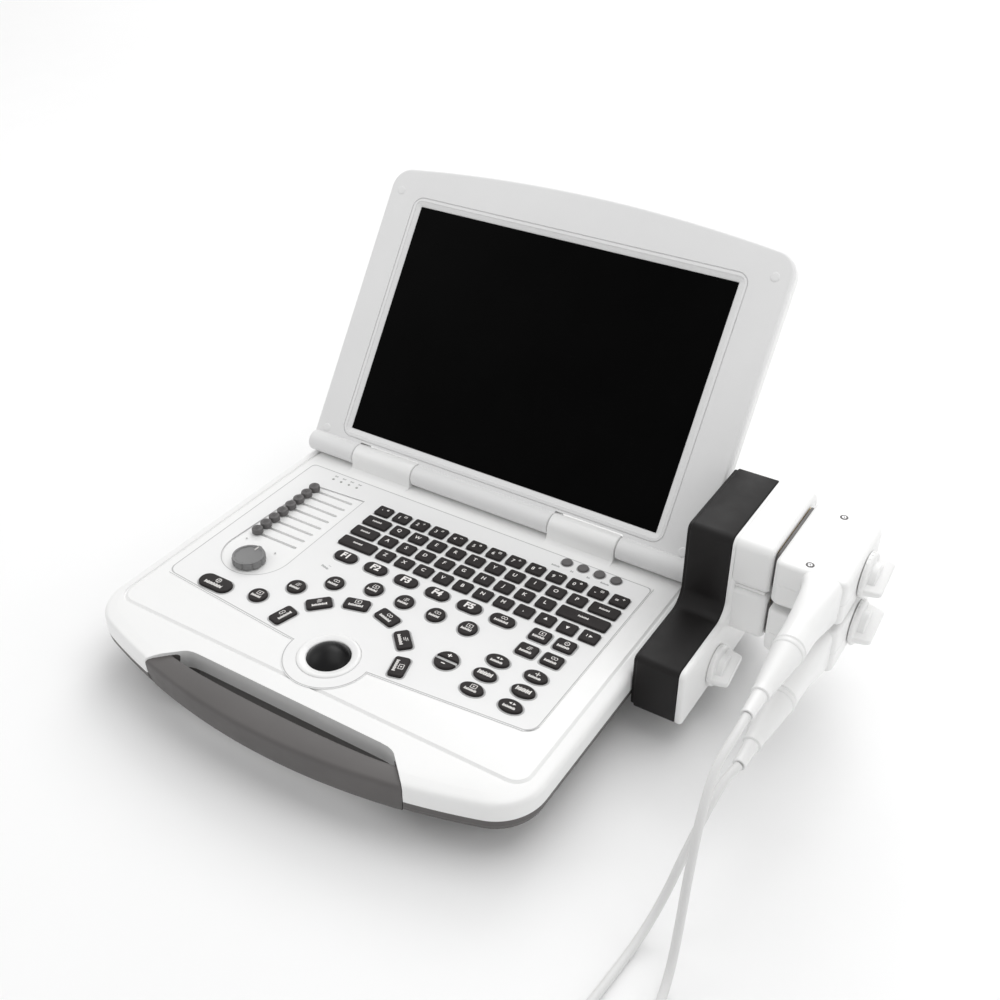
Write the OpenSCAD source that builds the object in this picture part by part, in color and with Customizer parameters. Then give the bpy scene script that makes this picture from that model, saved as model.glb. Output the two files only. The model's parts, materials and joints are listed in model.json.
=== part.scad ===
// Laptop-style ultrasound scanner with a two-socket probe adapter and two probe plugs.
// Millimetres, +Z up, front of the scanner towards -Y, user's right towards +X.
// Inside the modules the deck frame is used: X = 0 on the case's centre line,
// Y = 0 where the case's front edge meets the handle's ends, Z = 0 on the deck's top face.

/* [Case] */
// Width of the case
case_w = 360; // [352:1:366]
// Depth from the handle's ends to the rear wall
case_d = 318; // [316:1:326]
// Height of the white upper case
upper_h = 15; // [14:0.5:16]
// Height of the dark lower case
lower_h = 31; // [30:0.5:36]
// Height of the rubber feet
foot_h = 4; // [3:0.5:6]
// Wall thickness of the case shells
wall = 2.5; // [2:0.1:3]
// Radius of the bowed front edge
bow_r = 490; // [470:5:520]
// How far the bow runs out in front of Y = 0
bow_out = 12; // [10:0.5:13]
// Radius of the front corners
corner_r = 36; // [32:1:40]

/* [Handle] */
// Half width of the carry handle at its front
handle_half = 107; // [104:1:110]
// Thickness of the bar, front to back, at its top
handle_t = 12.5; // [11:0.5:13]
// Depth of the finger recess behind Y = 0
recess_d = 21; // [20:0.5:24]

/* [Lid] */
// Width of the lid
lid_w = 354; // [350:1:356]
// Height of the lid from the hinge axis to the middle of its top edge
lid_h = 250; // [244:0.5:252]
// Thickness of the lid
lid_t = 17; // [16:0.5:18]
// Width of the screen's active area
screen_w = 282; // [270:1:290]
// Height of the screen's active area
screen_h = 192; // [180:1:196]
// Lean of the open lid, back from upright
lid_lean = 35.5; // [20:0.5:45]

/* [Keys] */
// Pitch of the letter keys along a row
key_pitch = 17.35; // [17:0.05:17.5]
// Pitch of the letter key rows
row_pitch = 15.15; // [14.8:0.05:15.3]
// Gap between neighbouring letter keys
key_gap = 4.1; // [3.6:0.05:4.4]
// How far the keys stand above the deck
key_top = 2.7; // [2.2:0.1:3.2]

/* [Trackball] */
// Radius of the ball
ball_r = 19.05; // [18:0.05:19.5]
// Height of the ball's top above the deck
ball_top = 7.6; // [7:0.1:7.8]

/* [Gain controls] */
// Radius of the gain knob
gain_r = 13; // [11:0.5:14]
// Pitch of the gain sliders
slider_pitch = 9.8; // [9.4:0.1:9.9]
// Travel of a gain slider
slider_travel = 35; // [30:1:36]

/* [Probe adapter] */
// Width of the black inner shell
inner_w = 33; // [30:1:34]
// Thickness of the white shell's low front part
outer_low_w = 5; // [4:0.5:6]
// Thickness of the white shell's raised block
outer_high_w = 29; // [28:0.5:32]
// Height of the adapter's top above the deck
adapter_top = 81; // [80:0.5:84]

/* [Probe plugs] */
// Height of a plug
plug_h = 34; // [32:0.5:36]
// Vertical pitch of the two plugs
plug_pitch = 40; // [39:0.5:41]
// Width of a plug across its lock knob's axis
plug_w = 49; // [47:0.5:51]
// Radius of a lock knob
lock_r = 16; // [14:0.5:16]
// Diameter of a probe cable
cable_d = 5.5; // [5:0.1:6]

/* [Hidden] */

$fn = 48;
// Overlap that makes a cutter pass cleanly through a face
eps = 0.5;
half_w = case_w / 2;
case_bottom = -upper_h - lower_h;
floor_z = case_bottom - foot_h;
part_line = -upper_h;
rear_r = 28;

// The bowed front: one arc, then a corner arc that touches both the bow and the side
bow_cy = bow_r - bow_out;
corner_x = half_w - corner_r;
corner_y = bow_cy - sqrt(pow(bow_r - corner_r, 2) - pow(corner_x, 2));
bow_half_angle = asin(corner_x / (bow_r - corner_r));

// Hinge axis of the lid, and the two barrels it runs through: [first x, last x]
hinge_y = case_d - 50;
hinge_z = 9;
barrel_r = 9;
barrels = [[-131, -73], [56, 113]];
barrel_gap = 0.7;
pin_r = 2.5;
pin_reach = 9;
knuckle_r = 8.6;

// Lid frame: origin on the hinge axis, Y up the lid, Z out of its face
lid_x = -2.5;
lid_face = 0.9;
lid_split = -5;
lid_back = lid_face - lid_t;
lid_corner_r = 17;
lid_bow_r = 1350;
lid_half = lid_w / 2;
lid_bow_cy = lid_h - lid_bow_r;
lid_corner_x = lid_half - lid_corner_r;
lid_corner_y = lid_bow_cy + sqrt(pow(lid_bow_r - lid_corner_r, 2) - pow(lid_corner_x, 2));
lid_bow_angle = asin(lid_corner_x / (lid_bow_r - lid_corner_r));
lid_foot = -2;
lid_foot_r = 9;
lid_extra = 15;
screen_x = -4.5;
screen_y = 115.5;

// Deck: top plate of the upper case, film on it, and the board below it
plate_t = 3;
film_t = 0.6;
board_top = -5.4;
board_t = 1.6;

// Trackball
ball_x = -1;
ball_y = 66;
ball_z = ball_top - ball_r;
ring_r = 22;
ring_hole_r = 14.8;
ring_taper = 1.7;
ring_top = 1.8;
cup_hole_r = ball_r + 0.9;

// Gain knob and sliders in their pocket
gain_x = -117.5;
gain_y = 117;
gain_h = 6.5;
shaft_r = 3;
running_gap = 0.05;
slider_x = -136.5;
slider_y = 148;
slider_r = 4.4;
slider_h = 5.5;
slot_half = 1.2;
stem_half = 0.8;
pocket_x = -119;
pocket_y = 129.5;
pocket_r = 28.5;

// Letter keys: left edge of the rows, and for each row its
// [left wide key's width, number of plain keys, right wide key's width], 0 for none
rows_left = -75.8;
row_1_y = 220.4;
key_w = key_pitch - key_gap;
key_d = row_pitch - key_gap;
rows = [[0, 13, 0], [22.05, 10, 22.05], [22.05, 9, 39.35], [31.05, 11, 0]];
key_foot = -plate_t;
key_play = 0.5;
web_top = -0.9;
web_edge = 1;

// The other keys, as centres on the deck
mode_size = [19, 10.5];
mode_at = [for (i = [0:5]) [-58.6 + 27.6 * i, 158.4]];
round_r = 6.9;
round_at = [[-84, 89], [-67, 111], [-46, 129], [-17.5, 138.5], [9.5, 138.5], [36.5, 138.5], [63.5, 138.5]];
arc_size = [18.5, 10.8];
arc_r = 52;
arc_angles = [for (i = [0:5]) 15 + 30 * i];
arc_x = ball_x - 3;
arc_y = ball_y + 2;
square_size = [14.6, 11.4];
square_at = [[110, 158.2], [129.5, 158.2], [110, 140.8], [129.5, 140.8]];
oval_size = [17, 11];
oval_at = [for (x = [98.9, 128.5]) for (y = [121.5, 105.5, 89.5]) [x, y]];
freeze_at = [-119.3, 83.1];
freeze_size = [28, 13.6];
rocker_at = [69.5, 103.5];
rocker_r = 9;
rocker_slit = 1.4;
rocker_pivot_z = -1.6;
menu_r = 4.2;
menu_at = [for (i = [0:3]) [84.8 + 13.7 * i, 240.4]];
led_r = 1;
led_at = [for (i = [0:3]) [-133.5 + 8 * i, 237]];

// Probe adapter
adapter_x = half_w + 0.3;
seam_x = adapter_x + inner_w;
outer_low_x = seam_x + outer_low_w;
outer_high_x = seam_x + outer_high_w;
adapter_front = 158;
adapter_back = 312;
adapter_bottom = -28;
adapter_step_y = 228;
adapter_step_z = 17;
high_bottom = 5;
shell_t = 2.4;
lock_y = 209;
lock_z = -11;
adapter_lock_r = 15;
boss_y = [226, 284];
boss_z = [-12.5, -4.5];
boss_reach = 10;
boss_play = 0.6;

// Probe plugs: the upper one is number 1
plug_x = outer_high_x + 2;
plug_front = 220;
plug_back = 300;
plug_z = [adapter_top - plug_h / 2, adapter_top - plug_h / 2 - plug_pitch];
plug_lock_y = 261;
plug_edge_r = 4;
plug_far_r = 12;
arm_x = plug_x + plug_w - 15;
arm_half = 12;
relief_x = arm_x;
relief_y = 164;
relief_mid_y = 118;
relief_end_y = 99;
relief_r = 10;
relief_mid_r = 5;
relief_tip_r = 4;
nose_y = [238, 294];
nose_half_h = 11;
nose_reach = 11;
nose_play = 0.6;

// Probe cables: route points from the strain relief to the coil, then the coil's centre
cable_r = cable_d / 2;
cable_floor = floor_z + cable_r;
route_1 = [
    [relief_x, relief_end_y, plug_z[0]], [relief_x, 84, 62], [277, 62, 54], [279, 42, 36],
    [282, 26, 10], [285, 13, -18], [288, -1, -38], [290.5, -18, -46.2],
    [291.5, -40, cable_floor], [290.8, -80, cable_floor]
];
route_2 = [
    [relief_x, relief_end_y, plug_z[1]], [275.6, 86, 22], [273.5, 66, 12], [270.5, 48, -7],
    [267.5, 34, -27], [264.5, 18, -41], [262, -1, -46.9], [260, -22, cable_floor],
    [256.5, -60, cable_floor], [254.2, -100, cable_floor], [253.5, -140, cable_floor],
    [253.5, -184, cable_floor]
];
route_steps = 2;
cable_sides = 8;
coil_r = 30;
coil_bundle_r = 10;
coil_at = [[327, -80], [217, -184]];
transducer_at = [[323.8, -177], [127, -220.5]];
transducer_turn = [200, 90];

// Centre of the whole part's footprint and its floor, moved to the origin
part_left = -half_w;
part_right = plug_x + plug_w + 15.3;
part_front = -bow_out;
part_back = hinge_y + lid_h * sin(lid_lean) - lid_back * cos(lid_lean) - 4;
origin_shift = [-(part_left + part_right) / 2, -(part_front + part_back) / 2, -floor_z];

// Ports, screws and other fittings
tube_side = unit([1, 0, 1]);
port_x = [-60, 40];
port_z = [-36, -8];
port_y = case_d - 12;
port_play = 0.15;
screw_at = [[-135, 52], [135, 52], [-135, 278], [135, 278]];
screw_head_r = 3.2;
screw_r = 1.5;
foot_at = [[-122, 68], [122, 68], [-122, 262], [122, 262]];
foot_r = 8;
vent_slots = 9;
vent_pitch = 6;
fan_at = [94, 246];
fan_half = 26;
fan_low = case_bottom + wall + 0.3;
fan_h = 14;
rotor_r = 22.5;
rotor_play = 1.5;

// ---------- shared functions ----------

function arc(cx, cy, r, a0, a1, n) =
    [for (i = [0:n]) let (a = a0 + (a1 - a0) * i / n) [cx + r * cos(a), cy + r * sin(a)]];

// Outline of the case, moved inwards by d
function case_outline(d) = concat(
    arc(0, bow_cy, bow_r - d, 270 - bow_half_angle, 270 + bow_half_angle, 28),
    arc(corner_x, corner_y, corner_r - d, 271 + bow_half_angle, 360, 10),
    arc(half_w - rear_r, case_d - rear_r, rear_r - d, 0, 90, 8),
    arc(rear_r - half_w, case_d - rear_r, rear_r - d, 90, 180, 8),
    arc(-corner_x, corner_y, corner_r - d, 180, 269 - bow_half_angle, 10)
);

// Outline of the lid in its own frame, moved inwards by d
function lid_outline(d) = concat(
    arc(lid_x, lid_bow_cy, lid_bow_r - d, 90 - lid_bow_angle, 90 + lid_bow_angle, 16),
    arc(lid_x - lid_corner_x, lid_corner_y, lid_corner_r - d, 91 + lid_bow_angle, 180, 8),
    arc(lid_x - lid_half + lid_foot_r, lid_foot + lid_foot_r, lid_foot_r - d, 180, 270, 4),
    arc(lid_x + lid_half - lid_foot_r, lid_foot + lid_foot_r, lid_foot_r - d, 270, 360, 4),
    arc(lid_x + lid_corner_x, lid_corner_y, lid_corner_r - d, 0, 89 - lid_bow_angle, 8)
);

// Y of the bowed front, moved inwards by d, at one x
function bow_y(x, d) = bow_cy - sqrt(pow(bow_r - d, 2) - x * x);

// Side view of the adapter, moved inwards by d, as [y, z]
function adapter_profile(d) = concat(
    arc(adapter_front + 4, adapter_bottom + 4, 4 - d, 180, 270, 4),
    arc(adapter_back - 4, adapter_bottom + 4, 4 - d, 270, 360, 4),
    arc(adapter_back - 4, adapter_top - 4, 4 - d, 0, 90, 4),
    arc(adapter_step_y + 6, adapter_top - 6, 6 - d, 90, 180, 5),
    arc(adapter_step_y - 12, adapter_step_z + 12, 12 + d, 0, -90, 6),
    arc(adapter_front + 5, adapter_step_z - 5, 5 - d, 90, 180, 4)
);

// Side view of the raised white block, moved inwards by d, as [y, z]
function high_profile(d) = concat(
    arc(adapter_step_y + 4, high_bottom + 4, 4 - d, 180, 270, 4),
    arc(adapter_back - 4, high_bottom + 4, 4 - d, 270, 360, 4),
    arc(adapter_back - 4, adapter_top - 4, 4 - d, 0, 90, 4),
    arc(adapter_step_y + 6, adapter_top - 6, 6 - d, 90, 180, 5)
);

function at_z(points, z) = [for (p = points) [p[0], p[1], z]];

// Smooth curve through route points
function curve_point(p, i, t) =
    let (a = p[max(i - 1, 0)], b = p[i], c = p[i + 1], d = p[min(i + 2, len(p) - 1)])
    0.5 * (2 * b + (c - a) * t + (2 * a - 5 * b + 4 * c - d) * t * t + (3 * b - a - 3 * c + d) * t * t * t);
function smooth_route(p, n) = concat(
    [for (i = [0:len(p) - 2]) for (k = [0:n - 1]) curve_point(p, i, k / n)],
    [p[len(p) - 1]]
);
function unit(v) = v / norm(v);

// Rings of points round a route
function tube_rings(p, r, sides) = [
    for (i = [0:len(p) - 1])
        let (
            along = unit(p[min(i + 1, len(p) - 1)] - p[max(i - 1, 0)]),
            u = unit(cross(along, tube_side)),
            v = cross(along, u)
        )
        [for (k = [0:sides - 1]) p[i] + r * (cos(360 * k / sides) * u + sin(360 * k / sides) * v)]
];

// ---------- shared modules ----------

// Closed solid through a list of rings that have the same number of points
module skin(rings) {
    n = len(rings[0]);
    last = (len(rings) - 1) * n;
    points = [for (ring = rings) for (p = ring) p];
    sides = [for (j = [0:len(rings) - 2]) for (k = [0:n - 1])
        [j * n + k, j * n + (k + 1) % n, (j + 1) * n + (k + 1) % n, (j + 1) * n + k]];
    halves = [for (q = sides) each [[q[0], q[2], q[1]], [q[0], q[3], q[2]]]];
    caps = [[for (k = [0:n - 1]) k], [for (k = [0:n - 1]) last + n - 1 - k]];
    polyhedron(points = points, faces = concat(halves, caps), convexity = 8);
}

// Stands the part on the floor with its footprint's centre on the origin
module placed() {
    translate(origin_shift) children();
}

// Puts a shape made in the lid's frame onto the hinge
module on_lid() {
    translate([0, hinge_y, hinge_z]) rotate([90 - lid_lean, 0, 0]) children();
}

// Box between two corners
module box(a, b) {
    translate(a) cube(b - a);
}

// Cylinder along X
module rod_x(x0, x1, y, z, r) {
    translate([x0, y, z]) rotate([0, 90, 0]) cylinder(h = x1 - x0, r = r);
}

// Flat shape with round ends along X
module pill(size) {
    r = size[1] / 2;
    straight = size[0] / 2 - r;
    square([2 * straight, size[1]], center = true);
    translate([straight, 0]) circle(r = r);
    translate([-straight, 0]) circle(r = r);
}

// Extrudes a [y, z] outline along X
module along_x(x0, x1, outline) {
    translate([x0, 0, 0]) rotate([90, 0, 90]) linear_extrude(height = x1 - x0) polygon(outline);
}

// ---------- case ----------

// Space in front of the case that the handle and the fingers take
module handle_recess(z0, z1, depth) {
    translate([0, 0, z0]) linear_extrude(height = z1 - z0) polygon([
        [-handle_half - 0.5, -30], [-handle_half - 0.5, 0], [-handle_half + 16.5, 16],
        [-handle_half + 23, depth - 1.5], [-handle_half + 31, depth],
        [handle_half - 31, depth], [handle_half - 23, depth - 1.5],
        [handle_half - 16.5, 16], [handle_half + 0.5, 0], [handle_half + 0.5, -30]
    ]);
}

module pocket_shape() {
    polygon([[-147.5, pocket_y], [-142, 222], [-92, 225], [-90.5, pocket_y]]);
    translate([pocket_x, pocket_y]) circle(r = pocket_r);
}

// Edge of the control film: a straight-sided field with a round bulge at the ball
module film_shape() {
    polygon([
        [-162, 247], [-162, 82], [-159, 76], [-40, 66], [33, 66], [146, 76], [153, 84], [153, 247]
    ]);
    translate([ball_x, ball_y]) circle(r = 32);
}

module each_slider() {
    for (i = [0:7]) translate([0, slider_y + slider_pitch * i]) children();
}

// Holes for all the round and slotted controls, with play round the moving ones
module control_holes(play) {
    each_slider() translate([slider_x - 3, -slot_half]) square([slider_travel + 6, 2 * slot_half]);
    for (p = menu_at) translate(p) circle(r = menu_r + play);
    for (p = led_at) translate(p) circle(r = led_r + 0.2);
    for (p = round_at) translate(p) circle(r = round_r + play);
    for (p = mode_at) translate(p) pill(mode_size + [2 * play, 2 * play]);
    for (p = oval_at) translate(p) pill(oval_size + [2 * play, 2 * play]);
    for (p = square_at) translate(p) square(square_size + [2 * play, 2 * play], center = true);
    for (a = arc_angles) translate([arc_x, arc_y]) rotate(a - 90) translate([0, arc_r])
        square(arc_size + [2 * play, 2 * play], center = true);
    translate(freeze_at) pill(freeze_size + [2 * play, 2 * play]);
    translate(rocker_at) circle(r = rocker_r + play);
}

function row_y(i) = row_1_y - row_pitch * i;
function row_start(row) = rows_left + (row[0] > 0 ? row[0] + key_gap : 0);
function row_end(row) = row_start(row) + row[1] * key_pitch - key_gap + (row[2] > 0 ? key_gap + row[2] : 0);

// Plan of one row's keys, each grown by play
module row_plan(i, play) {
    row = rows[i];
    deep = key_d + 2 * play;
    low = row_y(i) - deep / 2;
    if (row[0] > 0) translate([rows_left - play, low]) square([row[0] + 2 * play, deep]);
    for (k = [0:row[1] - 1]) translate([row_start(row) + k * key_pitch - play, low])
        square([key_w + 2 * play, deep]);
    if (row[2] > 0) translate([row_end(row) - row[2] - play, low]) square([row[2] + 2 * play, deep]);
}

module upper_case() placed() color("white") {
    difference() {
        union() {
            difference() {
                skin([
                    at_z(case_outline(0), part_line), at_z(case_outline(0), -4.5),
                    at_z(case_outline(1.2), -1.6), at_z(case_outline(4.5), 0)
                ]);
                skin([
                    at_z(case_outline(wall), part_line - 1), at_z(case_outline(wall), -4),
                    at_z(case_outline(wall + 3), -plate_t)
                ]);
                handle_recess(part_line - 1, eps, recess_d);
            }
            // Wall behind the finger recess
            difference() {
                handle_wall(part_line, 0, recess_d + wall);
                handle_recess(part_line - 1, eps, recess_d);
            }
            // Hinge barrels
            for (b = barrels) {
                rod_x(b[0], b[1], hinge_y, hinge_z, barrel_r);
                box([b[0], hinge_y - barrel_r, -1], [b[1], hinge_y + barrel_r, hinge_z]);
            }
        }
        for (b = barrels) rod_x(b[0] - 1, b[1] + 1, hinge_y, hinge_z, pin_r + running_gap);
        translate([0, 0, -plate_t - eps]) linear_extrude(height = plate_t + 2 * eps)
            control_holes(key_play);
        for (i = [0:3])
            box([rows_left - 1.5, row_y(i) - key_d / 2 - 0.6, -plate_t - eps],
                [row_end(rows[0]) + 1.5, row_y(i) + key_d / 2 + 0.6, eps]);
        translate([ball_x, ball_y, -plate_t - eps]) cylinder(h = plate_t + 2 * eps, r = ring_r - 0.8);
        translate([gain_x, gain_y, -plate_t - eps])
            cylinder(h = plate_t + 2 * eps, r = shaft_r + running_gap);
        // Side socket for the probe adapter and the hole for its lock
        box([half_w - 8, boss_y[0] - boss_play, boss_z[0] - boss_play],
            [half_w + 2, boss_y[1] + boss_play, boss_z[1] + boss_play]);
        rod_x(half_w - 8, half_w + 2, lock_y, lock_z, shaft_r + 0.4);
        port_cutout();
    }
}

// Solid band that follows the back of the finger recess
module handle_wall(z0, z1, depth) {
    intersection() {
        translate([0, 0, z0]) linear_extrude(height = z1 - z0) polygon(case_outline(0.01));
        translate([0, 0, z0]) linear_extrude(height = z1 - z0) polygon([
            [-handle_half - 3.5, -5], [-handle_half - 3.5, 2], [-handle_half + 14, 18.5],
            [-handle_half + 22, depth - 1], [-handle_half + 30.5, depth],
            [handle_half - 30.5, depth], [handle_half - 22, depth - 1],
            [handle_half - 14, 18.5], [handle_half + 3.5, 2], [handle_half + 3.5, -5]
        ]);
    }
}

module port_cutout() {
    box([port_x[0] - port_play, port_y - 3, port_z[0] - port_play],
        [port_x[1] + port_play, case_d + 3, port_z[1] + port_play]);
}

module lower_case() placed() color("dimgray") {
    low_recess = recess_d + 6;
    difference() {
        union() {
            difference() {
                skin([
                    at_z(case_outline(27), case_bottom), at_z(case_outline(24), case_bottom + 2),
                    at_z(case_outline(7), -29), at_z(case_outline(2.5), -24.5),
                        at_z(case_outline(0.7), -20),
                    at_z(case_outline(0), part_line)
                ]);
                difference() {
                    skin([
                        at_z(case_outline(23 + wall), case_bottom + wall),
                        at_z(case_outline(22 + wall), case_bottom + wall + 2),
                        at_z(case_outline(7 + wall), -28), at_z(case_outline(2.5 + wall), -24),
                            at_z(case_outline(0.7 + wall), -19.5),
                        at_z(case_outline(wall), part_line + 1)
                    ]);
                    handle_wall(case_bottom - 1, part_line + 2, low_recess + wall);
                }
                handle_recess(case_bottom - 2, part_line + 3, low_recess);
            }
            // Screw posts
            for (p = screw_at) translate([p[0], p[1], case_bottom + 1]) cylinder(h = lower_h - 4, r = 4);
        }
        for (p = screw_at) {
            translate([p[0], p[1], case_bottom - 1]) cylinder(h = lower_h, r = screw_r + 0.05);
            translate([p[0], p[1], case_bottom - 1]) cylinder(h = 2.7, r = screw_head_r + 0.3);
        }
        port_cutout();
        // Fan exhaust slots in the rear wall
        for (i = [0:vent_slots - 1])
            box([62 + vent_pitch * i, case_d - 40, -36], [65 + vent_pitch * i, case_d + 2, -22]);
        // Air inlet slots in the left wall
        for (i = [0:vent_slots - 1])
            box([-half_w - 2, 120 + vent_pitch * i, -36], [-half_w + 40, 123 + vent_pitch * i, -24]);
    }
}

// Bar that bows with the case's front; its ends meet the case on a slant
module carry_handle() placed() color("gray") {
    stations = 32;
    end_slant = 1.06;
    skin([for (i = [0:stations])
        let (
            t = 2 * i / stations - 1,
            lift = pow(abs(t), 10),
            x0 = t * handle_half,
            inner_y = bow_y(x0, 0) * 0.35 + handle_t - 0.4 + 4 * lift,
            section = [
                [inner_y, -3], [bow_y(x0, 7), -3], [bow_y(x0, 3.5), -5.5], [bow_y(x0, 0.6), -11],
                [bow_y(x0, 0), -16], [bow_y(x0, 1.5), -22], [bow_y(x0, 4.5), -27], [bow_y(x0, 7.5), -29],
                [inner_y - 6, -29], [inner_y - 3, -26], [inner_y - 1, -14], [inner_y, -7]
            ]
        )
        [for (s = section) [x0 - sign(t) * max(0, s[0]) * end_slant * lift, s[0], s[1]]]
    ]);
}

module rubber_feet() placed() color("black") {
    for (p = foot_at) translate([p[0], p[1], floor_z]) cylinder(h = foot_h, r = foot_r);
}

module case_screws() placed() color("silver") {
    for (p = screw_at) {
        translate([p[0], p[1], case_bottom + 0.1]) cylinder(h = 1.6, r = screw_head_r);
        translate([p[0], p[1], case_bottom + 1]) cylinder(h = 16, r = screw_r);
    }
}

module port_panel() placed() color("dimgray") {
    difference() {
        box([port_x[0], port_y, port_z[0]], [port_x[1], case_d, port_z[1]]);
        // Power inlet, two data sockets and a video socket
        translate([-46, case_d + 1, -22]) rotate([90, 0, 0]) cylinder(h = 10, r = 3.1);
        for (x = [-32, -14]) box([x, case_d - 9, -25], [x + 13, case_d + 1, -19.5]);
        box([6, case_d - 8, -27], [34, case_d + 1, -17]);
    }
}

// ---------- inside ----------

module control_board() placed() color("green") {
    difference() {
        union() {
            box([-150, 82, board_top - board_t], [150, 250, board_top]);
            box([-60, 56, board_top - board_t], [60, 84, board_top]);
            // Slide resistors and the gain encoder
            each_slider() box([slider_x - 6, -3.6, board_top - 0.5],
                [slider_x + slider_travel + 6, 3.6, -3.3]);
            translate([gain_x, gain_y, board_top - 0.5]) cylinder(h = 2.2, r = 7);
        }
        translate([ball_x, ball_y, board_top - 5]) cylinder(h = 10, r = ring_r + 1.5);
        translate([gain_x, gain_y, board_top - 5]) cylinder(h = 10, r = shaft_r + 0.4);
    }
}

module status_leds() placed() color("lime") {
    for (p = led_at) translate([p[0], p[1], board_top]) cylinder(h = film_t + 0.2 - board_top, r = led_r);
}

module main_board() placed() color("darkgreen") {
    box([-122, 110, -21.6], [122, 290, -20]);
    // Processor under its heat spreader, beamformer chips and the probe connector
    box([60, 150, -20.2], [110, 200, -13]);
    for (x = [-100, -60, -20]) box([x, 150, -20.2], [x + 22, 172, -17.5]);
    box([112, 232, -20.2], [121, 280, -14]);
}

module battery_pack() placed() color("navy") {
    box([-120, 130, case_bottom + wall + 0.5], [-10, 280, -24]);
}

module cooling_fan() placed() color("black") {
    difference() {
        translate([fan_at[0] - fan_half, fan_at[1] - fan_half, fan_low])
            cube([2 * fan_half, 2 * fan_half, fan_h]);
        translate([fan_at[0], fan_at[1], fan_low + 1.6]) cylinder(h = fan_h, r = rotor_r + rotor_play);
        box([fan_at[0] - 18, fan_at[1] + 15, fan_low + 2],
            [fan_at[0] + 18, fan_at[1] + 40, fan_low + fan_h - 2]);
    }
    translate([fan_at[0], fan_at[1], fan_low + 1]) cylinder(h = 9, r = 2);
}

module fan_rotor() placed() color("gray") {
    blades = 7;
    difference() {
        union() {
            translate([fan_at[0], fan_at[1], fan_low + 3]) cylinder(h = 9, r = 10);
            for (i = [0:blades - 1]) translate([fan_at[0], fan_at[1], fan_low + 3]) rotate(360 * i / blades)
                translate([8, -0.7, 0.5]) cube([rotor_r - 8, 1.4, 8]);
        }
        translate([fan_at[0], fan_at[1], fan_low + 2]) cylinder(h = 8.4, r = 2 + running_gap);
    }
}

// ---------- controls ----------

module control_overlay() placed() color("whitesmoke") {
    difference() {
        linear_extrude(height = film_t) film_shape();
        translate([0, 0, -eps]) linear_extrude(height = film_t + 2 * eps) {
            pocket_shape();
            translate([ball_x, ball_y]) circle(r = ring_r + 0.2);
            control_holes(key_play);
            for (i = [0:3]) row_plan(i, key_play);
        }
    }
}

module trackball_ring() placed() color("white") {
    lip = 1;
    difference() {
        translate([ball_x, ball_y, ball_z - ball_r - 2.6]) {
            cylinder(h = ball_r + 2.6 - ball_z + 0.1, r = ring_r - 1);
            translate([0, 0, ball_r + 2.6 - ball_z]) cylinder(h = ring_top, r = ring_r);
        }
        translate([ball_x, ball_y, ball_z - ball_r - 0.9])
            cylinder(h = ball_r + 0.9 - ball_z - lip, r = cup_hole_r);
        translate([ball_x, ball_y, -lip - 0.1])
            cylinder(h = ring_top + lip + 0.2, r1 = ring_hole_r + ring_taper, r2 = ring_hole_r);
    }
}

module trackball() placed() color("black") {
    translate([ball_x, ball_y, ball_z]) sphere(r = ball_r, $fn = 64);
}

module gain_knob() placed() color("gray") {
    lobes = 10;
    translate([gain_x, gain_y, 0]) {
        difference() {
            translate([0, 0, 0.8]) cylinder(h = gain_h - 0.8, r = gain_r);
            for (i = [0:lobes - 1]) rotate(360 * (i + 0.5) / lobes) translate([gain_r + 2.2, 0, 0])
                cylinder(h = gain_h + 1, r = 3.4, $fn = 24);
        }
        rotate(115) translate([gain_r * 0.62, 0, gain_h - 0.5]) cylinder(h = 1.2, r = 1.3, $fn = 24);
        translate([0, 0, board_top + 0.2]) cylinder(h = 1 - board_top + 0.5, r = shaft_r);
    }
}

module tgc_slider(i) {
    placed() color("gray") translate([slider_x, slider_y + slider_pitch * (i - 1), 0]) {
        translate([0, 0, 0.4]) cylinder(h = slider_h - 0.4, r = slider_r, $fn = 32);
        translate([-1.5, -stem_half, -3.1]) cube([3, 2 * stem_half, 4]);
    }
}

module tgc_slider_1() tgc_slider(1);
module tgc_slider_2() tgc_slider(2);
module tgc_slider_3() tgc_slider(3);
module tgc_slider_4() tgc_slider(4);
module tgc_slider_5() tgc_slider(5);
module tgc_slider_6() tgc_slider(6);
module tgc_slider_7() tgc_slider(7);
module tgc_slider_8() tgc_slider(8);

module menu_button(i) {
    placed() color("gray") translate([menu_at[i - 1][0], menu_at[i - 1][1], key_foot])
        cylinder(h = key_top - key_foot, r = menu_r);
}

module menu_button_1() menu_button(1);
module menu_button_2() menu_button(2);
module menu_button_3() menu_button(3);
module menu_button_4() menu_button(4);

// One row of letter keys standing on the strip that joins them under the film
module key_row(i) {
    placed() color([0.24, 0.22, 0.22]) {
        box([rows_left - web_edge, row_y(i - 1) - key_d / 2, key_foot],
            [row_end(rows[0]) + web_edge, row_y(i - 1) + key_d / 2, web_top]);
        translate([0, 0, web_top - 0.2]) linear_extrude(height = key_top - web_top + 0.2)
            row_plan(i - 1, 0);
    }
}

module key_row_1() key_row(1);
module key_row_2() key_row(2);
module key_row_3() key_row(3);
module key_row_4() key_row(4);

// Upright key from a flat shape
module key_block() {
    translate([0, 0, key_foot]) linear_extrude(height = key_top - key_foot) children();
}

module mode_keys() placed() color([0.24, 0.22, 0.22]) {
    for (p = mode_at) translate(p) key_block() pill(mode_size);
}

module freeze_key() placed() color([0.24, 0.22, 0.22]) {
    translate(freeze_at) key_block() pill(freeze_size);
}

module round_keys() placed() color([0.24, 0.22, 0.22]) {
    for (p = round_at) translate(p) key_block() circle(r = round_r);
}

module arc_keys() placed() color([0.24, 0.22, 0.22]) {
    for (a = arc_angles) translate([arc_x, arc_y, 0]) rotate(a - 90) translate([0, arc_r, 0])
        key_block() square(arc_size, center = true);
}

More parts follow.
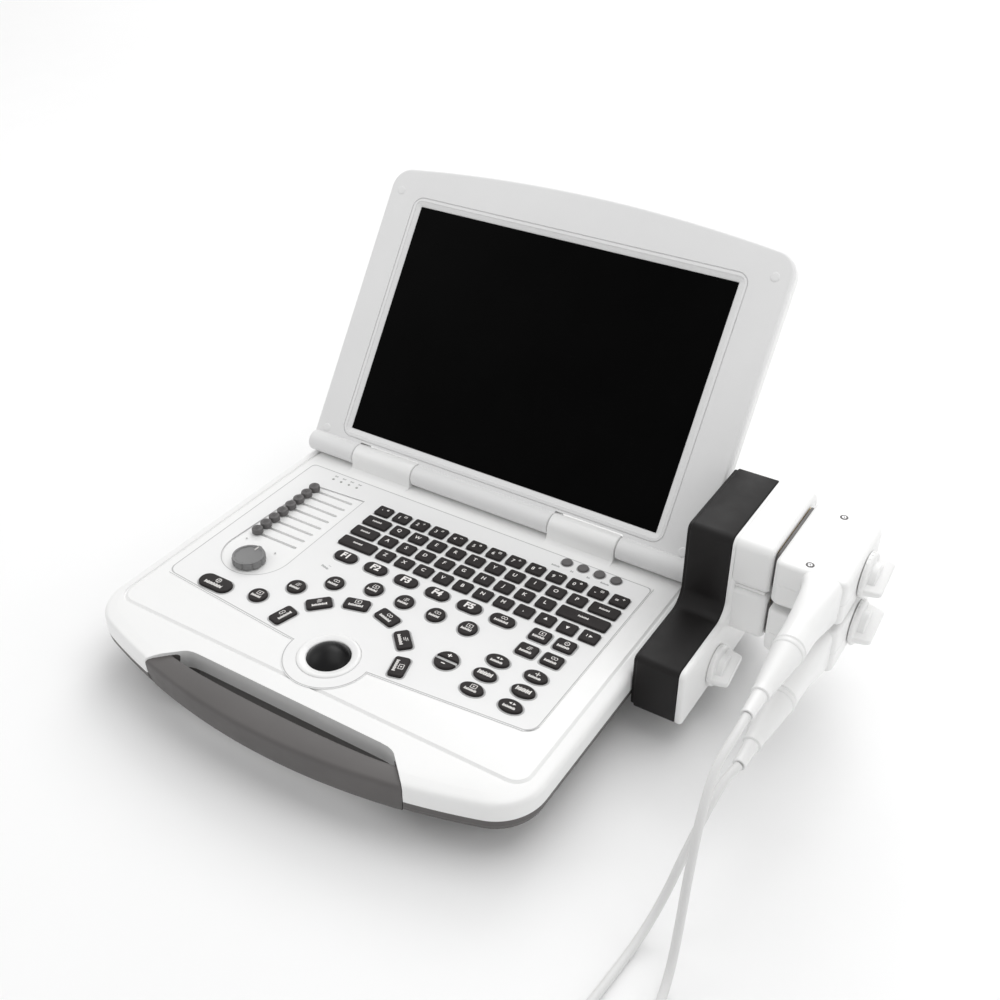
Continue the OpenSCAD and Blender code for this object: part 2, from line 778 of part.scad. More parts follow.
module function_keys() placed() color([0.24, 0.22, 0.22]) {
    for (p = square_at) translate(p) key_block() square(square_size, center = true);
    for (p = oval_at) translate(p) key_block() pill(oval_size);
}

// Plus and minus key: one rocker with a slit across its top
module gain_rocker() placed() color([0.24, 0.22, 0.22]) {
    translate([rocker_at[0], rocker_at[1], 0]) difference() {
        translate([0, 0, rocker_pivot_z]) cylinder(h = key_top - rocker_pivot_z, r = rocker_r);
        translate([-rocker_r - 1, -rocker_slit / 2, 0]) cube([2 * rocker_r + 2, rocker_slit, key_top + 1]);
    }
}

// ---------- lid ----------

// Takes the lid away round the hinge barrels
module barrel_notches() {
    for (b = barrels)
        box([b[0] - barrel_gap, -knuckle_r - 5, lid_back - 1],
            [b[1] + barrel_gap, barrel_r + 1.2, lid_face + 12]);
}

module lid_bezel() placed() color("gainsboro") on_lid() {
    difference() {
        union() {
            skin([
                at_z(lid_outline(0), lid_split), at_z(lid_outline(0), lid_face - 1.6),
                at_z(lid_outline(0.8), lid_face - 0.4), at_z(lid_outline(2), lid_face)
            ]);
            rod_x(lid_x - lid_half + 2, lid_x + lid_half - 2, 0, 0, knuckle_r);
        }
        barrel_notches();
        for (b = barrels) rod_x(b[0] - pin_reach, b[1] + pin_reach, 0, 0, pin_r);
        translate([screen_x, screen_y, 0]) cube([screen_w + 0.4, screen_h + 0.4, 30], center = true);
        translate([screen_x - screen_w / 2 - 8.2, screen_y - screen_h / 2 - 5.2, lid_split - 1])
            cube([screen_w + 16.4, screen_h + 13.4, 3]);
    }
}

module lid_shell() placed() color("white") on_lid() {
    difference() {
        skin([
            at_z(lid_outline(5), lid_back), at_z(lid_outline(2), lid_back + 1.2),
            at_z(lid_outline(0.6), lid_back + 3), at_z(lid_outline(0), lid_back + 5),
            at_z(lid_outline(0), lid_split)
        ]);
        // Hollow for the panel
        box([lid_x - lid_half + 12, 12, lid_back + 2.4],
            [lid_x + lid_half - 12, lid_corner_y + 14, lid_split + 1]);
        barrel_notches();
        rod_x(-half_w, half_w, 0, 0, knuckle_r + 0.02);
        // Slant that clears the deck behind the hinge when the lid leans furthest back
        rotate([lid_lean + lid_extra - 90, 0, 0])
            translate([-half_w - 5, -30, -40 - hinge_z + 0.7]) cube([2 * half_w + 10, 90, 40]);
    }
}

module lcd_panel() placed() color("black") on_lid() {
    translate([screen_x, screen_y, -2.2]) cube([screen_w, screen_h, 3], center = true);
    box([screen_x - screen_w / 2 - 8, screen_y - screen_h / 2 - 5, -9],
        [screen_x + screen_w / 2 + 8, screen_y + screen_h / 2 + 8, lid_split + 2]);
}

module lid_bumpers() placed() color("silver") on_lid() {
    for (x = [lid_x - 166, lid_x + 164]) for (y = [12.6, 221]) translate([x, y, lid_face])
        cylinder(h = 1.4, r = 3.6);
}

module hinge_pins() placed() color("silver") on_lid() {
    for (b = barrels) rod_x(b[0] - pin_reach, b[1] + pin_reach, 0, 0, pin_r);
}

// ---------- probe adapter ----------

module adapter_inner() placed() color([0.12, 0.11, 0.11]) {
    difference() {
        union() {
            along_x(adapter_x, seam_x, adapter_profile(0));
            box([half_w - boss_reach, boss_y[0], boss_z[0]], [adapter_x + 1, boss_y[1], boss_z[1]]);
        }
        along_x(adapter_x + shell_t, seam_x + 1, adapter_profile(shell_t));
        rod_x(adapter_x - 1, adapter_x + shell_t + 1, lock_y, lock_z, shaft_r + running_gap);
    }
}

module adapter_outer() placed() color("white") {
    difference() {
        union() {
            along_x(seam_x, outer_low_x, adapter_profile(0));
            along_x(seam_x, outer_high_x, high_profile(0));
        }
        along_x(seam_x - 1, outer_low_x - shell_t, adapter_profile(shell_t));
        along_x(seam_x - 1, outer_high_x - shell_t, high_profile(shell_t));
        rod_x(outer_low_x - shell_t - 1, outer_low_x + 1, lock_y, lock_z, shaft_r + running_gap);
        for (z = plug_z) box([outer_high_x - shell_t - 1, nose_y[0] - 2, z - nose_half_h - 2],
            [outer_high_x + 1, nose_y[1] + 2, z + nose_half_h + 2]);
    }
}

// Turning grip: a disc with a wing across it, and the shaft behind
module lock_knob(x, y, z, r, shaft_x) {
    disc_t = 4;
    hub_t = 5;
    wing_t = 7;
    rod_x(x, x + disc_t, y, z, r);
    rod_x(x + disc_t - 0.1, x + disc_t + hub_t, y, z, r * 0.62);
    translate([x + disc_t - 0.1, y, z]) rotate([20, 0, 0]) translate([0, -r * 0.95, -3.2])
        cube([wing_t + 4, r * 1.9, 6.4]);
    rod_x(shaft_x, x + 0.5, y, z, shaft_r);
}

module adapter_knob() placed() color("white") {
    lock_knob(outer_low_x + 0.4, lock_y, lock_z, adapter_lock_r, half_w - 9);
}

// The two sockets the plugs go into, behind the openings of the white shell
module probe_sockets() placed() color("gold") {
    back = outer_high_x - 18;
    for (z = plug_z) difference() {
        box([back, nose_y[0] - 2, z - nose_half_h - 2],
            [outer_high_x - 0.4, nose_y[1] + 2, z + nose_half_h + 2]);
        box([outer_high_x - nose_reach + 1, nose_y[0] - nose_play, z - nose_half_h - nose_play],
            [outer_high_x + 1, nose_y[1] + nose_play, z + nose_half_h + nose_play]);
        rod_x(back - 1, outer_high_x, plug_lock_y, z, shaft_r + 0.4);
    }
}

// ---------- probe plugs ----------

// Neck that narrows from the plug's arm to the round end of the strain relief
function neck_ring(y, z, half_x, half_z, power) = [for (k = [0:23])
    let (c = cos(15 * k), s = sin(15 * k))
    [arm_x + half_x * sign(c) * pow(abs(c), power), y, z + half_z * sign(s) * pow(abs(s), power)]];

module probe_plug(z) {
    half = plug_h / 2;
    far = plug_x + plug_w;
    placed() color("white") difference() {
        union() {
            translate([0, 0, z - half]) linear_extrude(height = plug_h) polygon(concat(
                arc(plug_x + plug_edge_r, plug_front + plug_edge_r, plug_edge_r, 180, 270, 4),
                arc(far - plug_edge_r, plug_front + plug_edge_r, plug_edge_r, 270, 360, 4),
                arc(far - plug_far_r, plug_back - plug_far_r, plug_far_r, 0, 90, 6),
                arc(plug_x + plug_edge_r, plug_back - plug_edge_r, plug_edge_r, 90, 180, 4)
            ));
            skin([
                neck_ring(plug_front + 6, z, arm_half, half, 0.25),
                neck_ring(203, z, arm_half, half - 1.5, 0.35),
                neck_ring(185, z, arm_half - 0.4, 13, 0.55),
                neck_ring(173, z, 11, 11.3, 0.85),
                neck_ring(relief_y, z, relief_r + 0.3, relief_r + 0.3, 1)
            ]);
            box([plug_x - nose_reach, nose_y[0], z - nose_half_h],
                [plug_x + 1, nose_y[1], z + nose_half_h]);
        }
        rod_x(plug_x - nose_reach - 1, far + 1, plug_lock_y, z, shaft_r + running_gap);
    }
}

module plug_knob(z) {
    placed() color("white")
        lock_knob(plug_x + plug_w + 0.4, plug_lock_y, z, lock_r, plug_x - nose_reach - 4);
}

// Two-stage tapered sleeve that points forwards
module strain_relief(z) {
    placed() color("whitesmoke") translate([relief_x, 0, z]) {
        translate([0, relief_y, 0]) rotate([90, 0, 0])
            cylinder(h = relief_y - relief_mid_y, r1 = relief_r, r2 = relief_mid_r);
        translate([0, relief_mid_y, 0]) rotate([90, 0, 0])
            cylinder(h = relief_mid_y - relief_end_y, r1 = relief_mid_r - 0.4, r2 = relief_tip_r);
    }
}

module cable(route) {
    placed() color("lightgray") skin(tube_rings(smooth_route(route, route_steps), cable_r, cable_sides));
}

module cable_coil(i) {
    placed() color("lightgray") translate([coil_at[i][0], coil_at[i][1], floor_z + coil_bundle_r])
        rotate_extrude() translate([coil_r, 0]) circle(r = coil_bundle_r, $fn = 24);
}

// Hand-held convex transducer lying on the floor
function probe_ring(along, wide, thick) = [for (k = [0:19])
    [wide * cos(18 * k), along, thick * sin(18 * k)]];

module transducer(i) {
    placed() color("lightgray")
        translate([transducer_at[i][0], transducer_at[i][1], floor_z + 13])
        rotate(transducer_turn[i])
        skin([
            probe_ring(-90, 2.7, 2.7), probe_ring(-63, 2.8, 2.8), probe_ring(-62, 4, 4),
                probe_ring(-40, 6, 6), probe_ring(-38, 11, 9.5), probe_ring(-10, 14, 12),
            probe_ring(20, 18, 12.5), probe_ring(34, 28, 12.5), probe_ring(48, 31, 12),
                probe_ring(56, 27, 9),
            probe_ring(60, 18, 5)
        ]);
}

module probe_plug_1() probe_plug(plug_z[0]);
module probe_plug_2() probe_plug(plug_z[1]);
module plug_knob_1() plug_knob(plug_z[0]);
module plug_knob_2() plug_knob(plug_z[1]);
module strain_relief_1() strain_relief(plug_z[0]);
module strain_relief_2() strain_relief(plug_z[1]);
module cable_1() cable(route_1);
module cable_2() cable(route_2);
module cable_coil_1() cable_coil(0);
module cable_coil_2() cable_coil(1);
module transducer_1() transducer(0);
module transducer_2() transducer(1);

lower_case();
upper_case();
carry_handle();
rubber_feet();
case_screws();
control_overlay();
control_board();
status_leds();
main_board();
battery_pack();
cooling_fan();
fan_rotor();
port_panel();
trackball_ring();
trackball();
gain_knob();
tgc_slider_1();
tgc_slider_2();
tgc_slider_3();
tgc_slider_4();
tgc_slider_5();
tgc_slider_6();
tgc_slider_7();
tgc_slider_8();
menu_button_1();
menu_button_2();
menu_button_3();
menu_button_4();
key_row_1();
key_row_2();
key_row_3();
key_row_4();
mode_keys();
freeze_key();
round_keys();
arc_keys();
function_keys();
gain_rocker();
lid_bezel();
lid_shell();
lcd_panel();
lid_bumpers();
hinge_pins();
adapter_inner();
adapter_outer();
adapter_knob();
probe_sockets();
probe_plug_1();
plug_knob_1();
strain_relief_1();
cable_1();
cable_coil_1();
transducer_1();
probe_plug_2();
plug_knob_2();
strain_relief_2();
cable_2();
cable_coil_2();
transducer_2();
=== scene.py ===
import bpy
import bmesh
import json
import math
from mathutils import Matrix, Vector


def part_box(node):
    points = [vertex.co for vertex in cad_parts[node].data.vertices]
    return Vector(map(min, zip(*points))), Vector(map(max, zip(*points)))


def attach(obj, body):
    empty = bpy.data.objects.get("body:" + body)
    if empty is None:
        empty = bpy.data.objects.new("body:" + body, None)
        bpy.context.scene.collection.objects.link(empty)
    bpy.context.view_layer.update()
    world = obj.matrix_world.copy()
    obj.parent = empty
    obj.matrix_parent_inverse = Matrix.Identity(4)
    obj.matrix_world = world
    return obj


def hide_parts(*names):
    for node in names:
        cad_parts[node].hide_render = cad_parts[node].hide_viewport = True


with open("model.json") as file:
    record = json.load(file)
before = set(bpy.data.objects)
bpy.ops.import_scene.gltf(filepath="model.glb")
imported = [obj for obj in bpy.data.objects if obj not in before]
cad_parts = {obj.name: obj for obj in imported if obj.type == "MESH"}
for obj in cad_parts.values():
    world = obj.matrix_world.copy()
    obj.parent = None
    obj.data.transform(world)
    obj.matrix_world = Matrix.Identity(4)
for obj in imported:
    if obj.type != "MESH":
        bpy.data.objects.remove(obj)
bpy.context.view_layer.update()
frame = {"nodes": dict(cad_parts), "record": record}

MM = 0.001
TAU = 2 * math.pi
FLOOR = -50.0                      # the plane the feet stand on, in deck millimetres

# The ball's centre and radius on the deck. The deck's origin in the row frame follows from where the ball is
BALL_X, BALL_Y, BALL_Z, BALL_R = -1, 66, -11.45, 19.05
ball_low, ball_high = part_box("trackball")
DECK = (Vector(ball_low) + Vector(ball_high)) / 2 - Vector((BALL_X, BALL_Y, BALL_Z)) * MM


def deck(x, y, z):
    """A point of the deck's frame in millimetres, as a row frame point."""
    return DECK + Vector((x, y, z)) * MM


HINGE_Y, HINGE_Z = 268, 9
LID_LEAN = 35.5
LID_AT = Matrix.Translation((0, HINGE_Y, HINGE_Z)) @ Matrix.Rotation(math.radians(90 - LID_LEAN), 4, "X")


def on_lid(x, y, z):
    """A point of the lid's own frame in millimetres, as a row frame point."""
    return deck(*(LID_AT @ Vector((x, y, z))))


# ---------- camera, light and floor ----------

scene = bpy.context.scene
scene.view_settings.view_transform = "Standard"
azimuth, elevation = math.radians(32.1), math.radians(34.6)
back = Vector((math.sin(azimuth) * math.cos(elevation), -math.cos(azimuth) * math.cos(elevation),
               math.sin(elevation)))
camera = bpy.data.objects.new("camera", bpy.data.cameras.new("camera"))
scene.collection.objects.link(camera)
camera.data.sensor_width = 36
camera.data.lens = 43.34
camera.data.clip_start = 0.02
camera.data.clip_end = 50
camera.rotation_mode = "QUATERNION"
camera.location = deck(420.3, -388.3, 548.2)
camera.rotation_quaternion = (-back).to_track_quat("-Z", "Y")
scene.camera = camera


def lamp(name, at, target, size, watts):
    light = bpy.data.lights.new(name, "AREA")
    light.shape = "RECTANGLE"
    light.size, light.size_y = size
    light.energy = watts
    obj = bpy.data.objects.new(name, light)
    obj.location = at
    obj.rotation_mode = "QUATERNION"
    obj.rotation_quaternion = (Vector(target) - Vector(at)).to_track_quat("-Z", "Y")
    scene.collection.objects.link(obj)


lamp("overhead", (0.35, 0.35, 1.6), (0, 0, 0), (1.5, 1.2), 8.5)
lamp("right_side", (1.6, 0.3, 0.7), (0.1, 0, 0.05), (1.0, 0.9), 3)
lamp("far_wash", (-1.2, 3.4, 2.6), (-1.4, 2.2, 0), (2.5, 2.5), 66)
lamp("left_fill", (-1.5, -0.5, 1.2), (0, 0, 0.05), (1.2, 1.0), 4)

world = bpy.data.worlds.new("studio")
scene.world = world
world.use_nodes = True
world.node_tree.nodes["Background"].inputs[0].default_value = (1, 1, 1, 1)
world.node_tree.nodes["Background"].inputs[1].default_value = 0.66


# ---------- materials ----------

def nodes_of(name):
    material = bpy.data.materials.new(name)
    material.use_nodes = True
    tree = material.node_tree
    return material, tree, tree.nodes["Principled BSDF"]


def add(tree, kind, **inputs):
    node = tree.nodes.new(kind)
    for key, value in inputs.items():
        node.inputs[key].default_value = value
    return node


def noise(tree, coordinates, scale, detail=3.0, rough=0.55):
    node = add(tree, "ShaderNodeTexNoise", Scale=scale, Detail=detail, Roughness=rough)
    tree.links.new(coordinates, node.inputs["Vector"])
    return node.outputs["Fac"]


def remap(tree, value, low, high):
    """The middle of a noise's range, spread over low to high."""
    node = add(tree, "ShaderNodeMapRange", **{"From Min": 0.3, "From Max": 0.7, "To Min": low, "To Max": high})
    tree.links.new(value, node.inputs["Value"])
    return node.outputs["Result"]


def blend_colour(tree, factor, low, high):
    node = tree.nodes.new("ShaderNodeMix")
    node.data_type = "RGBA"
    node.inputs["A"].default_value = (*low, 1)
    node.inputs["B"].default_value = (*high, 1)
    tree.links.new(factor, node.inputs["Factor"])
    return node.outputs["Result"]


def bump(tree, shader, height, strength, distance):
    node = add(tree, "ShaderNodeBump", Strength=strength, Distance=distance)
    tree.links.new(height, node.inputs["Height"])
    tree.links.new(node.outputs["Normal"], shader.inputs["Normal"])


def moulded(name, colour, rough, grain=1500.0, depth=0.35, drift=0.03, spread=0.05, coat=0.0, spec=0.5):
    """Moulded or finished surface: slow drift of tone, uneven gloss and a fine grain."""
    material, tree, shader = nodes_of(name)
    place = tree.nodes.new("ShaderNodeTexCoord").outputs["Object"]
    slow = noise(tree, place, 14.0, 4.0, 0.6)
    low = [max(0.0, c * (1 - drift)) for c in colour]
    high = [min(1.0, c * (1 + drift)) for c in colour]
    tree.links.new(blend_colour(tree, remap(tree, slow, 0, 1), low, high), shader.inputs["Base Color"])
    patch = noise(tree, place, 60.0, 4.0, 0.65)
    gloss = remap(tree, patch, max(0.02, rough - spread), min(1.0, rough + spread))
    tree.links.new(gloss, shader.inputs["Roughness"])
    bump(tree, shader, noise(tree, place, grain, 2.0, 0.5), depth, 0.00004)
    shader.inputs["Specular IOR Level"].default_value = spec
    shader.inputs["Coat Weight"].default_value = coat
    shader.inputs["Coat Roughness"].default_value = 0.08
    return material


def board_material(name):
    """Solder mask with copper tracks under it."""
    material, tree, shader = nodes_of(name)
    place = tree.nodes.new("ShaderNodeTexCoord").outputs["Object"]
    tracks = add(tree, "ShaderNodeTexBrick", Scale=120.0, Color1=(0.012, 0.10, 0.035, 1),
                 Color2=(0.016, 0.14, 0.05, 1), Mortar=(0.05, 0.24, 0.09, 1))
    tree.links.new(place, tracks.inputs["Vector"])
    tree.links.new(tracks.outputs["Color"], shader.inputs["Base Color"])
    tree.links.new(remap(tree, noise(tree, place, 90.0), 0.28, 0.42), shader.inputs["Roughness"])
    bump(tree, shader, tracks.outputs["Fac"], 0.4, 0.00008)
    return material


def brushed(name, colour, rough):
    """Metal with fine lines along X."""
    material, tree, shader = nodes_of(name)
    place = tree.nodes.new("ShaderNodeTexCoord").outputs["Object"]
    stretch = tree.nodes.new("ShaderNodeMapping")
    stretch.inputs["Scale"].default_value = (20, 900, 900)
    tree.links.new(place, stretch.inputs["Vector"])
    lines = noise(tree, stretch.outputs["Vector"], 1.0, 3.0, 0.6)
    tree.links.new(blend_colour(tree, lines, [c * 0.85 for c in colour], colour), shader.inputs["Base Color"])
    tree.links.new(remap(tree, lines, rough - 0.07, rough + 0.07), shader.inputs["Roughness"])
    bump(tree, shader, lines, 0.25, 0.00003)
    shader.inputs["Metallic"].default_value = 1.0
    return material


WHITE = moulded("white_plastic", (0.86, 0.86, 0.855), 0.33, drift=0.012, depth=0.22, coat=0.12)
LID_GREY = moulded("lid_plastic", (0.77, 0.77, 0.77), 0.46, drift=0.012, depth=0.3)
DARK = moulded("dark_plastic", (0.098, 0.092, 0.09), 0.5, grain=1100, depth=0.6, drift=0.07)
BLACK = moulded("black_plastic", (0.006, 0.005, 0.005), 0.5, spec=0.3, grain=1300, depth=0.45, drift=0.12)
FILM = moulded("film_polyester", (0.83, 0.83, 0.828), 0.5, grain=2200, depth=0.5, drift=0.01)
KEY = moulded("key_rubber", (0.019, 0.0155, 0.0155), 0.6, spec=0.3, grain=1800, depth=0.5, drift=0.1)
CAP_GREY = moulded("cap_grey", (0.115, 0.11, 0.11), 0.52, grain=1600, depth=0.4, drift=0.06)
KNOB_GREY = moulded("knob_grey", (0.2, 0.2, 0.2), 0.5, grain=1600, depth=0.4, drift=0.05)
BALL = moulded("ball_resin", (0.004, 0.004, 0.0045), 0.36, grain=700, depth=0.04, drift=0.3, spec=0.22)
SCREEN = moulded("screen_glass", (0.0012, 0.0012, 0.0012), 0.3, grain=2600, depth=0.05, drift=0.3,
                 spread=0.03, spec=0.03)
RUBBER = moulded("foot_rubber", (0.025, 0.025, 0.025), 0.75, grain=1000, depth=0.9, drift=0.2)
JACKET = moulded("cable_jacket", (0.72, 0.72, 0.715), 0.42, grain=900, depth=0.4, drift=0.02)
RELIEF = moulded("relief_rubber", (0.8, 0.8, 0.795), 0.4, grain=1100, depth=0.35, drift=0.02)
STEEL = brushed("satin_steel", (0.62, 0.62, 0.63), 0.3)
BRASS = brushed("plated_contacts", (0.83, 0.62, 0.3), 0.25)
BOARD = board_material("solder_mask")
SLEEVE = moulded("battery_sleeve", (0.03, 0.05, 0.12), 0.38, grain=700, depth=0.4, drift=0.15)
LED = moulded("led_lens", (0.42, 0.43, 0.41), 0.2, grain=900, depth=0.1, drift=0.04, coat=0.3)
PRINT_PALE = moulded("print_pale", (0.62, 0.6, 0.58), 0.5, grain=2500, depth=0.1, drift=0.05)
PRINT_GREY = moulded("print_grey", (0.36, 0.36, 0.36), 0.5, grain=2500, depth=0.1, drift=0.05)

BY_SLOT = {
    "white_shell": WHITE, "dark_shell": DARK, "black_shell": BLACK, "lid_face": LID_GREY, "key_dark": KEY,
    "control_grey": CAP_GREY, "knob_grey": KNOB_GREY, "ball_black": BALL, "film": FILM, "screen": SCREEN,
    "soft_rubber": RUBBER, "cable_jacket": JACKET, "relief": RELIEF, "steel": STEEL, "board": BOARD,
    "battery": SLEEVE, "led": LED, "contacts": BRASS,
}

for part in frame["record"]["subparts"]:
    shown = frame["nodes"][part["node"]]
    shown.data.materials.clear()
    shown.data.materials.append(BY_SLOT[part["material_slot"]])

ground = bpy.data.meshes.new("studio_floor")
ground.from_pydata([(-6, -6, 0), (6, -6, 0), (6, 6, 0), (-6, 6, 0)], [], [(0, 1, 2, 3)])
floor = bpy.data.objects.new("studio_floor", ground)
ground.materials.append(moulded("floor_paper", (0.9, 0.9, 0.9), 0.9, grain=400, depth=0.1, drift=0.004))
scene.collection.objects.link(floor)


# ---------- cords ----------

CABLE_D = 5.5
LAYER = 5.65                       # height of one layer of turns in a coil
LAYERS = 4
TURN_STEPS, RAMP_STEPS = 24, 10
RAMP_IN, RAMP_OUT = 120, 90        # degrees that a ramp between layers takes, at the inside and the outside


def smooth_step(t):
    return t * t * (3 - 2 * t)


def smooth_line(points, spacing=6.0):
    """A Catmull-Rom line through the points, with points at about the spacing."""
    pts = [Vector(p) for p in points]
    pts = [2 * pts[0] - pts[1]] + pts + [2 * pts[-1] - pts[-2]]
    out = []
    for i in range(1, len(pts) - 2):
        a, b, c, d = pts[i - 1:i + 3]
        steps = max(2, round((c - b).length / spacing))
        for k in range(steps):
            t = k / steps
            out.append(0.5 * ((2 * b) + (c - a) * t + (2 * a - 5 * b + 4 * c - d) * t ** 2
                              + (3 * b - a - 3 * c + d) * t ** 3))
    out.append(pts[-2])
    return out


def wound(centre, start, turn, turns, r_in=24.0, pitch=6.0):
    """Four layers of spiral turns, with a ramp up at the end of each of the first three."""
    r_out = r_in + pitch * turns
    angle, out = math.radians(start), []
    z0 = FLOOR + CABLE_D / 2

    def put(r, a, h):
        out.append(Vector((centre[0] + r * math.cos(a), centre[1] + r * math.sin(a), z0 + h)))

    for layer in range(LAYERS):
        inwards, top = layer % 2 == 0, layer == LAYERS - 1
        steps = round(TURN_STEPS * turns)
        for k in range(steps + top):
            t = k / steps
            put(r_out - pitch * turns * t if inwards else r_in + pitch * turns * t,
                angle + turn * t * turns * TAU, layer * LAYER)
        angle += turn * turns * TAU
        if not top:
            sweep = math.radians(RAMP_IN if inwards else RAMP_OUT)
            for k in range(RAMP_STEPS):
                t = k / RAMP_STEPS
                put(r_in if inwards else r_out, angle + turn * sweep * t, (layer + smooth_step(t)) * LAYER)
            angle += turn * sweep
    return out


def tube(name, line, diameter, material):
    curve = bpy.data.curves.new(name, "CURVE")
    curve.dimensions = "3D"
    curve.bevel_depth = diameter / 2 * MM
    curve.bevel_resolution = 4
    spline = curve.splines.new("POLY")
    spline.points.add(len(line) - 1)
    for point, at in zip(spline.points, line):
        point.co = (*deck(*at), 1)
    spline.use_smooth = True
    curve.materials.append(material)
    obj = bpy.data.objects.new(name, curve)
    scene.collection.objects.link(obj)
    return obj


ROUTES = [
    [(278.3, 99, 64), (278.3, 84, 62), (277, 62, 54), (279, 42, 36), (282, 26, 10), (285, 13, -18),
     (288, -1, -38), (290.5, -18, -46.2), (291.2, -40, -47.25), (290.6, -60, -47.25)],
    [(278.3, 99, 24), (275.6, 86, 22), (273.5, 66, 12), (270.5, 48, -7), (267.5, 34, -27),
     (264.5, 18, -41), (262, -1, -46.9), (260, -22, -47.25), (256.5, -60, -47.25), (254.2, -100, -47.25),
     (253.6, -140, -47.25), (253.5, -165, -47.25)],
]
WINDINGS = [((327, -80), 180, 1, 2.0347), ((217, -184), 0, -1, 2.0833)]
TAIL_DIRECTION = [Vector((0.342, -0.94, 0)), Vector((-1, 0, 0))]
TAIL, TAIL_DROP = 27, 6.7          # from the top layer down into the probe head
cables = []
for i in (0, 1):
    turns_line = wound(*WINDINGS[i])
    lead = smooth_line(ROUTES[i] + [turns_line[0]])[:-1]
    end = turns_line[-1]
    tail = [end + TAIL_DIRECTION[i] * s + Vector((0, 0, -TAIL_DROP * (s / TAIL) ** 2 * (3 - 2 * s / TAIL)))
            for s in (6, 12, 18, 24, TAIL)]
    inside = [tail[-1] + TAIL_DIRECTION[i] * s for s in (6, 12, 18, 24)]
    line = lead + turns_line + tail + inside
    length = sum((b - a).length for a, b in zip(line, line[1:])) * MM
    cable = tube(f"probe_cable_{i + 1}", line, CABLE_D, JACKET)
    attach(cable, f"plug_{i + 1}")
    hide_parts(f"cable_{i + 1}", f"cable_coil_{i + 1}")
    cables.append((cable, line, length, tail[-1]))


# ---------- mesh builders: every outline is a function of an inset, in millimetres ----------

def cos_sin(degrees):
    return math.cos(math.radians(degrees)), math.sin(math.radians(degrees))


def arc(cx, cy, r, a0, a1, steps):
    turns = [cos_sin(a0 + (a1 - a0) * i / steps) for i in range(steps + 1)]
    return [(cx + r * c, cy + r * s) for c, s in turns]


def rounded(x0, y0, x1, y1, r, steps=6):
    """Outline of a rounded rectangle, moved inwards by its argument."""
    def outline(d):
        q = max(r - d, 0.02)
        a, b, c, e = x0 + d, y0 + d, x1 - d, y1 - d
        return (arc(c - q, b + q, q, -90, 0, steps) + arc(c - q, e - q, q, 0, 90, steps)
                + arc(a + q, e - q, q, 90, 180, steps) + arc(a + q, b + q, q, 180, 270, steps))
    return outline


def disc(cx, cy, r, steps=48):
    return lambda d: arc(cx, cy, r - d, 0, 360 - 360 / steps, steps - 1)


def turned(outline, cx, cy, degrees):
    """An outline round the origin, turned and moved to a centre."""
    c, s = cos_sin(degrees)
    return lambda d: [(cx + x * c - y * s, cy + x * s + y * c) for x, y in outline(d)]


def over(r, z, steps=4):
    """Profile of a rounded upper edge that ends at height z: pairs of inset and height."""
    return [(r * (1 - math.cos(math.pi / 2 * k / steps)), z - r + r * math.sin(math.pi / 2 * k / steps))
            for k in range(steps + 1)]


class Sheetwork:
    """Collects rings of points into one mesh; place turns millimetres into the row frame."""

    def __init__(self, place=deck):
        self.mesh = bmesh.new()
        self.place = place

    def ring(self, points):
        return [self.mesh.verts.new(self.place(*p)) for p in points]

    def band(self, a, b, material=0):
        """Faces between two rings with the same number of points."""
        for i in range(len(a)):
            j = (i + 1) % len(a)
            self.mesh.faces.new((a[i], a[j], b[j], b[i])).material_index = material

    def skin(self, rings, low=True, high=True, material=0):
        made = [self.ring(r) for r in rings]
        for a, b in zip(made, made[1:]):
            self.band(a, b, material)
        if low:
            self.mesh.faces.new(list(reversed(made[0]))).material_index = material
        if high:
            self.mesh.faces.new(made[-1]).material_index = material

    def stack(self, outline, profile, material=0, low=True, high=True):
        """A body whose outline is moved in as it rises: profile holds pairs of inset and height."""
        self.skin([[(x, y, z) for x, y in outline(d)] for d, z in profile], low, high, material)

    def channel(self, outline, profile):
        """A band closed on itself that runs along an outline, to cut a groove with."""
        loops = [self.ring([(x, y, z) for x, y in outline(d)]) for d, z in profile]
        for a, b in zip(loops, loops[1:] + loops[:1]):
            self.band(a, b)

    def data(self, name, fix=True):
        bmesh.ops.remove_doubles(self.mesh, verts=self.mesh.verts, dist=1e-6)
        if fix:
            bmesh.ops.recalc_face_normals(self.mesh, faces=self.mesh.faces)
        data = bpy.data.meshes.new(name)
        self.mesh.to_mesh(data)
        self.mesh.free()
        return data

    def done(self, name, body, slot, *materials, replaces=(), sharp=32, fix=True):
        return finish_mesh(name, self.data(name, fix), body, materials, replaces, sharp)


def finish_mesh(name, data, body, materials, replaces=(), sharp=32):
    data.shade_smooth()
    data.set_sharp_from_angle(angle=math.radians(sharp))
    for material in materials:
        data.materials.append(material)
    obj = bpy.data.objects.new(name, data)
    scene.collection.objects.link(obj)
    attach(obj, body)
    if replaces:
        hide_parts(*replaces)
    return obj


def lathe(sheet, axis_at, profile, along="x", steps=56):
    """Turned body: profile holds pairs of distance along the axis and radius."""
    rings = []
    for s, r in profile:
        ring = []
        for k in range(steps):
            c, n = r * math.cos(TAU * k / steps), r * math.sin(TAU * k / steps)
            x, y, z = axis_at
            ring.append({"x": (x + s, y + c, z + n), "y": (x + c, y + s, z + n),
                         "z": (x + c, y + n, z + s)}[along])
        rings.append(ring)
    sheet.skin(rings)


# ---------- transducers on the cables' ends ----------

